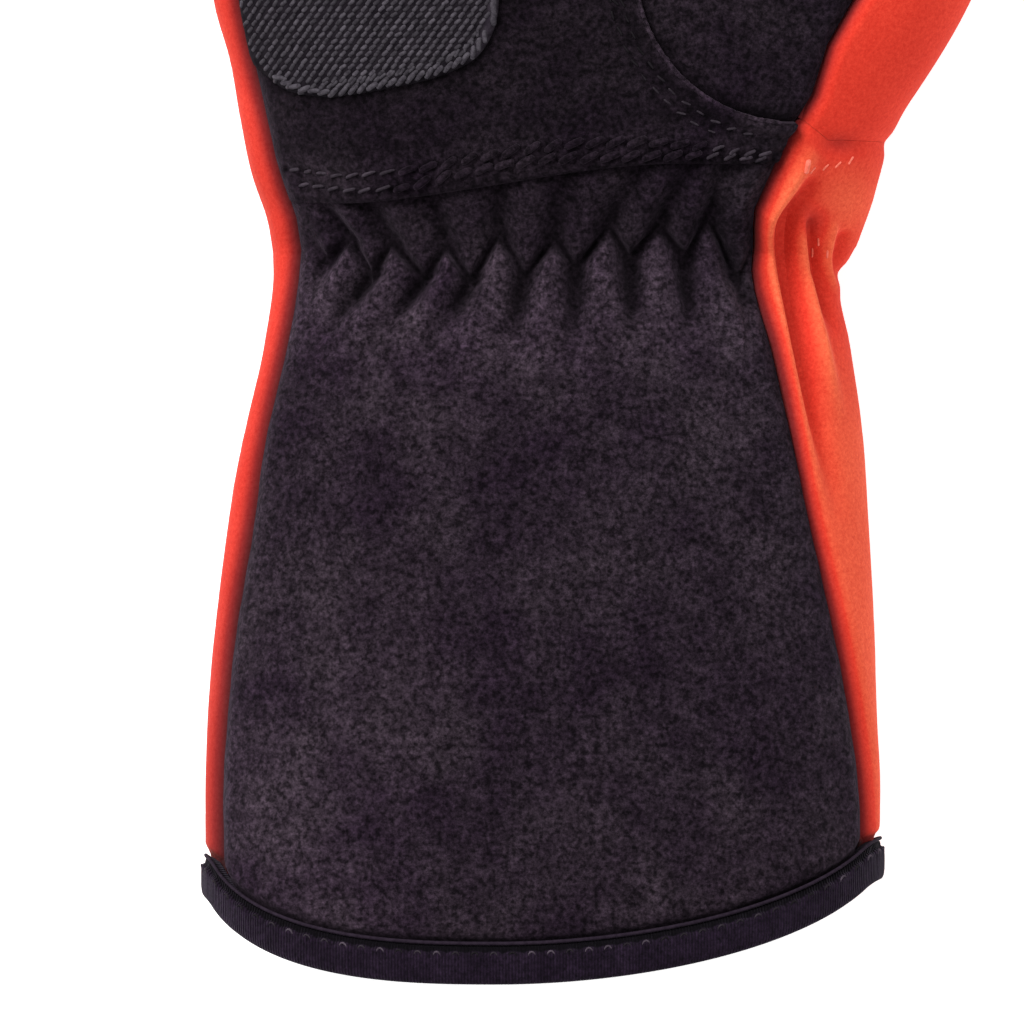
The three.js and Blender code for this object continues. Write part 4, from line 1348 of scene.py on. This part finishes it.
def row_strands(cover, line, pitch, length, radius, lean, sink, arch, shake, tone):
    """Strands along a line in plan, each turned by lean from the line's way.

    pitch may be a function of x, and tone one of y.
    """
    line = np.asarray(line, float)
    reach = length_along(line)
    strands = []
    pitch_at = pitch if callable(pitch) else lambda x: pitch
    places = [pitch_at(line[0, 0]) / 2]
    while places[-1] < reach[-1]:
        places.append(places[-1] + pitch_at(np.interp(places[-1], reach, line[:, 0])))
    for place in places[:-1]:
        spot, ahead, behind = (
            [np.interp(place + shift, reach, line[:, axis]) for axis in (0, 1)] for shift in (0, 0.5, -0.5)
        )
        angle = math.atan2(ahead[1] - behind[1], ahead[0] - behind[0])
        angle += math.radians(lean + RANDOM.normal() * 60 * shake)
        spot = np.array(spot) + RANDOM.normal(size=2) * shake * 0.5
        point, normal = cover.at(*spot)
        if point is None:
            continue
        size = 1 + RANDOM.normal() * shake * 0.5
        if callable(pitch):
            size *= pitch(spot[0]) / STITCH_PITCH
        shade = tone(spot[1]) if callable(tone) else tone
        strands.append(straight_strand(point, normal, angle, length * size, radius * size, sink, arch, shade))
    return strands


def thread_piece(name, strands, material):
    points, faces, tones = thread_mesh(strands)
    piece = make_object(name, points, faces, material)
    set_values(piece, "tone", tones)
    print(name, len(strands), "strands")


FRONT_COVER = Cover("cuff_front", "palm_panel", "thumb_front")


def palm_stitch_pitch(x):
    return 1.9 + 0.9 * rise(x, -33.0, 14.0) * (1 - 0.8 * rise(x, 14.0, 10.0))


def thumb_stitch_tone(y):
    return 0.1 + 0.25 * fall(y, 18, 8)


# Kinds of stitches: length, radius, lean from the row's way in degrees, sink of the ends, arch, shake, tone
PALM_PUCKER = (2.3, 0.42, 25.0, 0.42, 0.22, 0.09, 0.8)
THUMB_STITCH = (1.3, 0.17, 6.0, 0.08, 0.04, 0.14, thumb_stitch_tone)
# The rolled edge's strands are painted lighter, as a highlight
THUMB_ROLL = (1.6, 0.3, 0.0, 0.12, 0.0, 0.0, 1.6)
RED_STITCH = (1.2, 0.17, 25.0, 0.04, 0.12, 0.08, 1.0)
GRIP_STITCH = (1.9, 0.38, 36.0, 0.1, 0.2, 0.06, 1.15)
GRIP_INNER_STITCH = (1.2, 0.28, 36.0, 0.05, 0.15, 0.06, 0.95)
GRIP_BORDER_STITCH = (2.1, 0.42, 7.0, 0.16, 0.1, 0.02, 1.0)

puffs = []
strands = []
for row in PALM_ROWS:
    puffs += row_strands(FRONT_COVER, curve_through(row, 6), palm_stitch_pitch, *PALM_PUCKER)
# A stitch lies along each pucker, a little shorter; thinner and darker where the nap hides it
for path, normal, radius, _ in puffs:
    middle = path.mean(0)
    lost = palm_stitch_lost(middle[0])
    lifted = middle + (path - middle) * 0.9 + normal * (radius - 0.14)
    strands.append((lifted, normal, 0.26 - 0.04 * lost, (0.5 - 0.26 * lost) * RANDOM.uniform(0.7, 1.2)))
puffs = [puff for puff in puffs if palm_stitch_lost(puff[0].mean(0)[0]) > 0.3]
thread_piece("palm_puckers", puffs, BLACK)
thread_piece("palm_stitches", strands, THREAD)

heel = thumb_heel_seam()[2:]
heel = heel[heel[:, 1] < 60]
strands = []
for away in (2.4, 4.0):
    row = aside(heel, away)
    row = row[(row[:, 1] > palm_edge(row[:, 0]) + 3.6) & (row[:, 1] < 50)]
    strands += row_strands(FRONT_COVER, row, 2.3, *THUMB_STITCH)
thread_piece("thumb_stitches", strands, THREAD)

# A rolled edge of suede strands along the thumb's heel, painted lighter as a highlight
rolled = aside(heel, 0.35)[heel[:, 0] < HEEL_CENTRE[0] + 0.5]
strands = row_strands(FRONT_COVER, rolled, 0.8, *THUMB_ROLL)
thread_piece("thumb_rolled_edge", strands, BLACK)

RED_COVER = Cover("back_panel", "thumb_back")
strands = row_strands(RED_COVER, RED_ROW, 1.75, *RED_STITCH)
# Loose stitches beside the row: x, y, length, radius
LOOSE = ((33.3, 11.0, 2.0, 0.4), (34.1, -0.3, 1.3, 0.16), (34.9, 1.1, 1.2, 0.16), (36.1, -0.5, 1.2, 0.16))
for x, y, length, radius in LOOSE:
    point, normal = RED_COVER.at(x, y)
    strands.append(straight_strand(point, normal, math.radians(82), length, radius, 0.1, 0.15))
thread_piece("red_stitches", strands, RED_THREAD)

GRIP_COVER = Cover("grip_patch")
outline = grip_outline()
WEAVE_PITCH = 1.13
WEAVE_ROW = 0.85
WEAVE_START = 20.0
strands = []
for row in range(int((GRIP_TOP - WEAVE_START) / WEAVE_ROW)):
    y = WEAVE_START + row * WEAVE_ROW
    x = np.arange(-46.0, GRIP_RIGHT, WEAVE_PITCH) + row % 2 * WEAVE_PITCH / 2
    spots = np.stack([x, np.full(len(x), y)], 1)
    inside = line_distance(spots, outline, closed=True)
    for spot in spots[inside > np.where(spots[:, 0] < -34, 0.15, 1.2)]:
        point, normal = GRIP_COVER.at(*(spot + RANDOM.normal(size=2) * 0.03))
        if point is not None:
            angle = math.radians(42 + RANDOM.normal() * 5)
            shade = RANDOM.uniform(0.7, 1.25)
            strands.append(straight_strand(point, normal, angle, 1.08, 0.3, 0.05, 0.14, shade))
thread_piece("grip_weave", strands, GRIP_THREAD)

edge_line = curve_through(GRIP_EDGE[1:-2], 6)
strands = row_strands(GRIP_COVER, aside(edge_line, 0.8), 1.3, *GRIP_STITCH)
strands += row_strands(GRIP_COVER, aside(edge_line, 1.9)[14:], 1.3, *GRIP_INNER_STITCH)
border_x = GRIP_RIGHT - 0.55
border = [(GRIP_EDGE[-2][0] - 0.75, GRIP_EDGE[-2][1] - 1.2), (border_x, 40.0), (border_x, GRIP_TOP - 6)]
strands += row_strands(GRIP_COVER, curve_through(border, 12), 1.2, *GRIP_BORDER_STITCH)
thread_piece("grip_edge_stitches", strands, GRIP_THREAD)

# Scalloped stitches on the binding, one small arch after another
ARCH_COLUMNS = 2.2
LEVELS = (4.15, 4.4, 4.6, 4.68)
level_rings = [ring_points(level, 0.68) for level in LEVELS]
strands = []
for place in (np.arange(SCALLOPS - 1) + 0.5) * AROUND / SCALLOPS:
    path = []
    for share, level in zip(STRAND_SHARES, (0, 1, 2, 3, 2, 1, 0)):
        column = place + share * ARCH_COLUMNS
        path.append([np.interp(column, COLUMNS, level_rings[level][:, axis]) for axis in range(3)])
    path = np.array(path)
    inward = np.array([path[3][0], 0.0, path[3][2] - MOUTH_DEPTH / 2])
    strands.append((path, inward / np.linalg.norm(inward), 0.14, RANDOM.choice((0.12, 0.2, 0.35, 0.8))))
thread_piece("hem_stitches", strands, THREAD)

# A fallen fibre and a few specks of lint: x, y, length, angle in degrees
LINT = (
    (14.8, -7.2, 2.1, -32), (0.0, 9.6, 0.5, 80), (-6.5, -77.1, 0.6, 60), (-16.7, -83.6, 0.8, 100),
    (-7.9, -84.9, 0.4, 20), (1.7, 10.5, 0.45, 60),
)
strands = []
for x, y, length, angle in LINT:
    point, normal = FRONT_COVER.at(x, y)
    strands.append(straight_strand(point, normal, math.radians(angle), length, 0.09, -0.2, 0.1, 2.4))
thread_piece("lint", strands, THREAD)

# Floor, light and camera


def make_floor():
    material = bpy.data.materials.new("plain_floor")
    material.use_nodes = True
    surface = material.node_tree.nodes["Principled BSDF"]
    for socket, value in (
        ("Base Color", (0.92, 0.92, 0.92, 1)), ("Roughness", 0.95), ("Specular IOR Level", 0.0),
        ("Emission Color", (1, 1, 1, 1)), ("Emission Strength", 0.6),
    ):
        surface.inputs[socket].default_value = value
    bpy.ops.mesh.primitive_plane_add(size=6.0, location=(0, 0, -0.0002))
    floor = bpy.context.object
    floor.name = "floor"
    floor.data.materials.append(material)


def make_light(name, place, size, power):
    data = bpy.data.lights.new(name, "AREA")
    data.size = size
    data.energy = power
    light = bpy.data.objects.new(name, data)
    light.location = place
    light.rotation_euler = (Vector((0, -0.02, 0)) - Vector(place)).to_track_quat("-Z", "Y").to_euler()
    bpy.context.scene.collection.objects.link(light)


make_floor()
make_light("key", (-0.95, 1.15, 1.35), 1.2, 53.0)
make_light("fill", (1.1, -0.9, 1.4), 1.2, 13.0)
world = bpy.data.worlds.new("studio")
bpy.context.scene.world = world
world.use_nodes = True
background = world.node_tree.nodes["Background"]
background.inputs["Color"].default_value = (1, 1, 1, 1)
background.inputs["Strength"].default_value = 0.45

# The picture's width at the height of the glove's upper side, and its middle
PICTURE_WIDTH = 136.53
PICTURE_LEVEL = 22.0
PICTURE_MIDDLE = (-6.0, -35.2)
CAMERA_HEIGHT = 2500.0
SENSOR = 36.0
camera_data = bpy.data.cameras.new("camera")
camera_data.sensor_fit = "HORIZONTAL"
camera_data.sensor_width = SENSOR
camera_data.lens = SENSOR * (CAMERA_HEIGHT - PICTURE_LEVEL) / PICTURE_WIDTH
camera = bpy.data.objects.new("camera", camera_data)
camera.location = [length * MM for length in (*PICTURE_MIDDLE, CAMERA_HEIGHT)]
bpy.context.scene.collection.objects.link(camera)
bpy.context.scene.camera = camera
bpy.context.scene.view_settings.view_transform = "Standard"
bpy.context.scene.view_settings.look = "None"
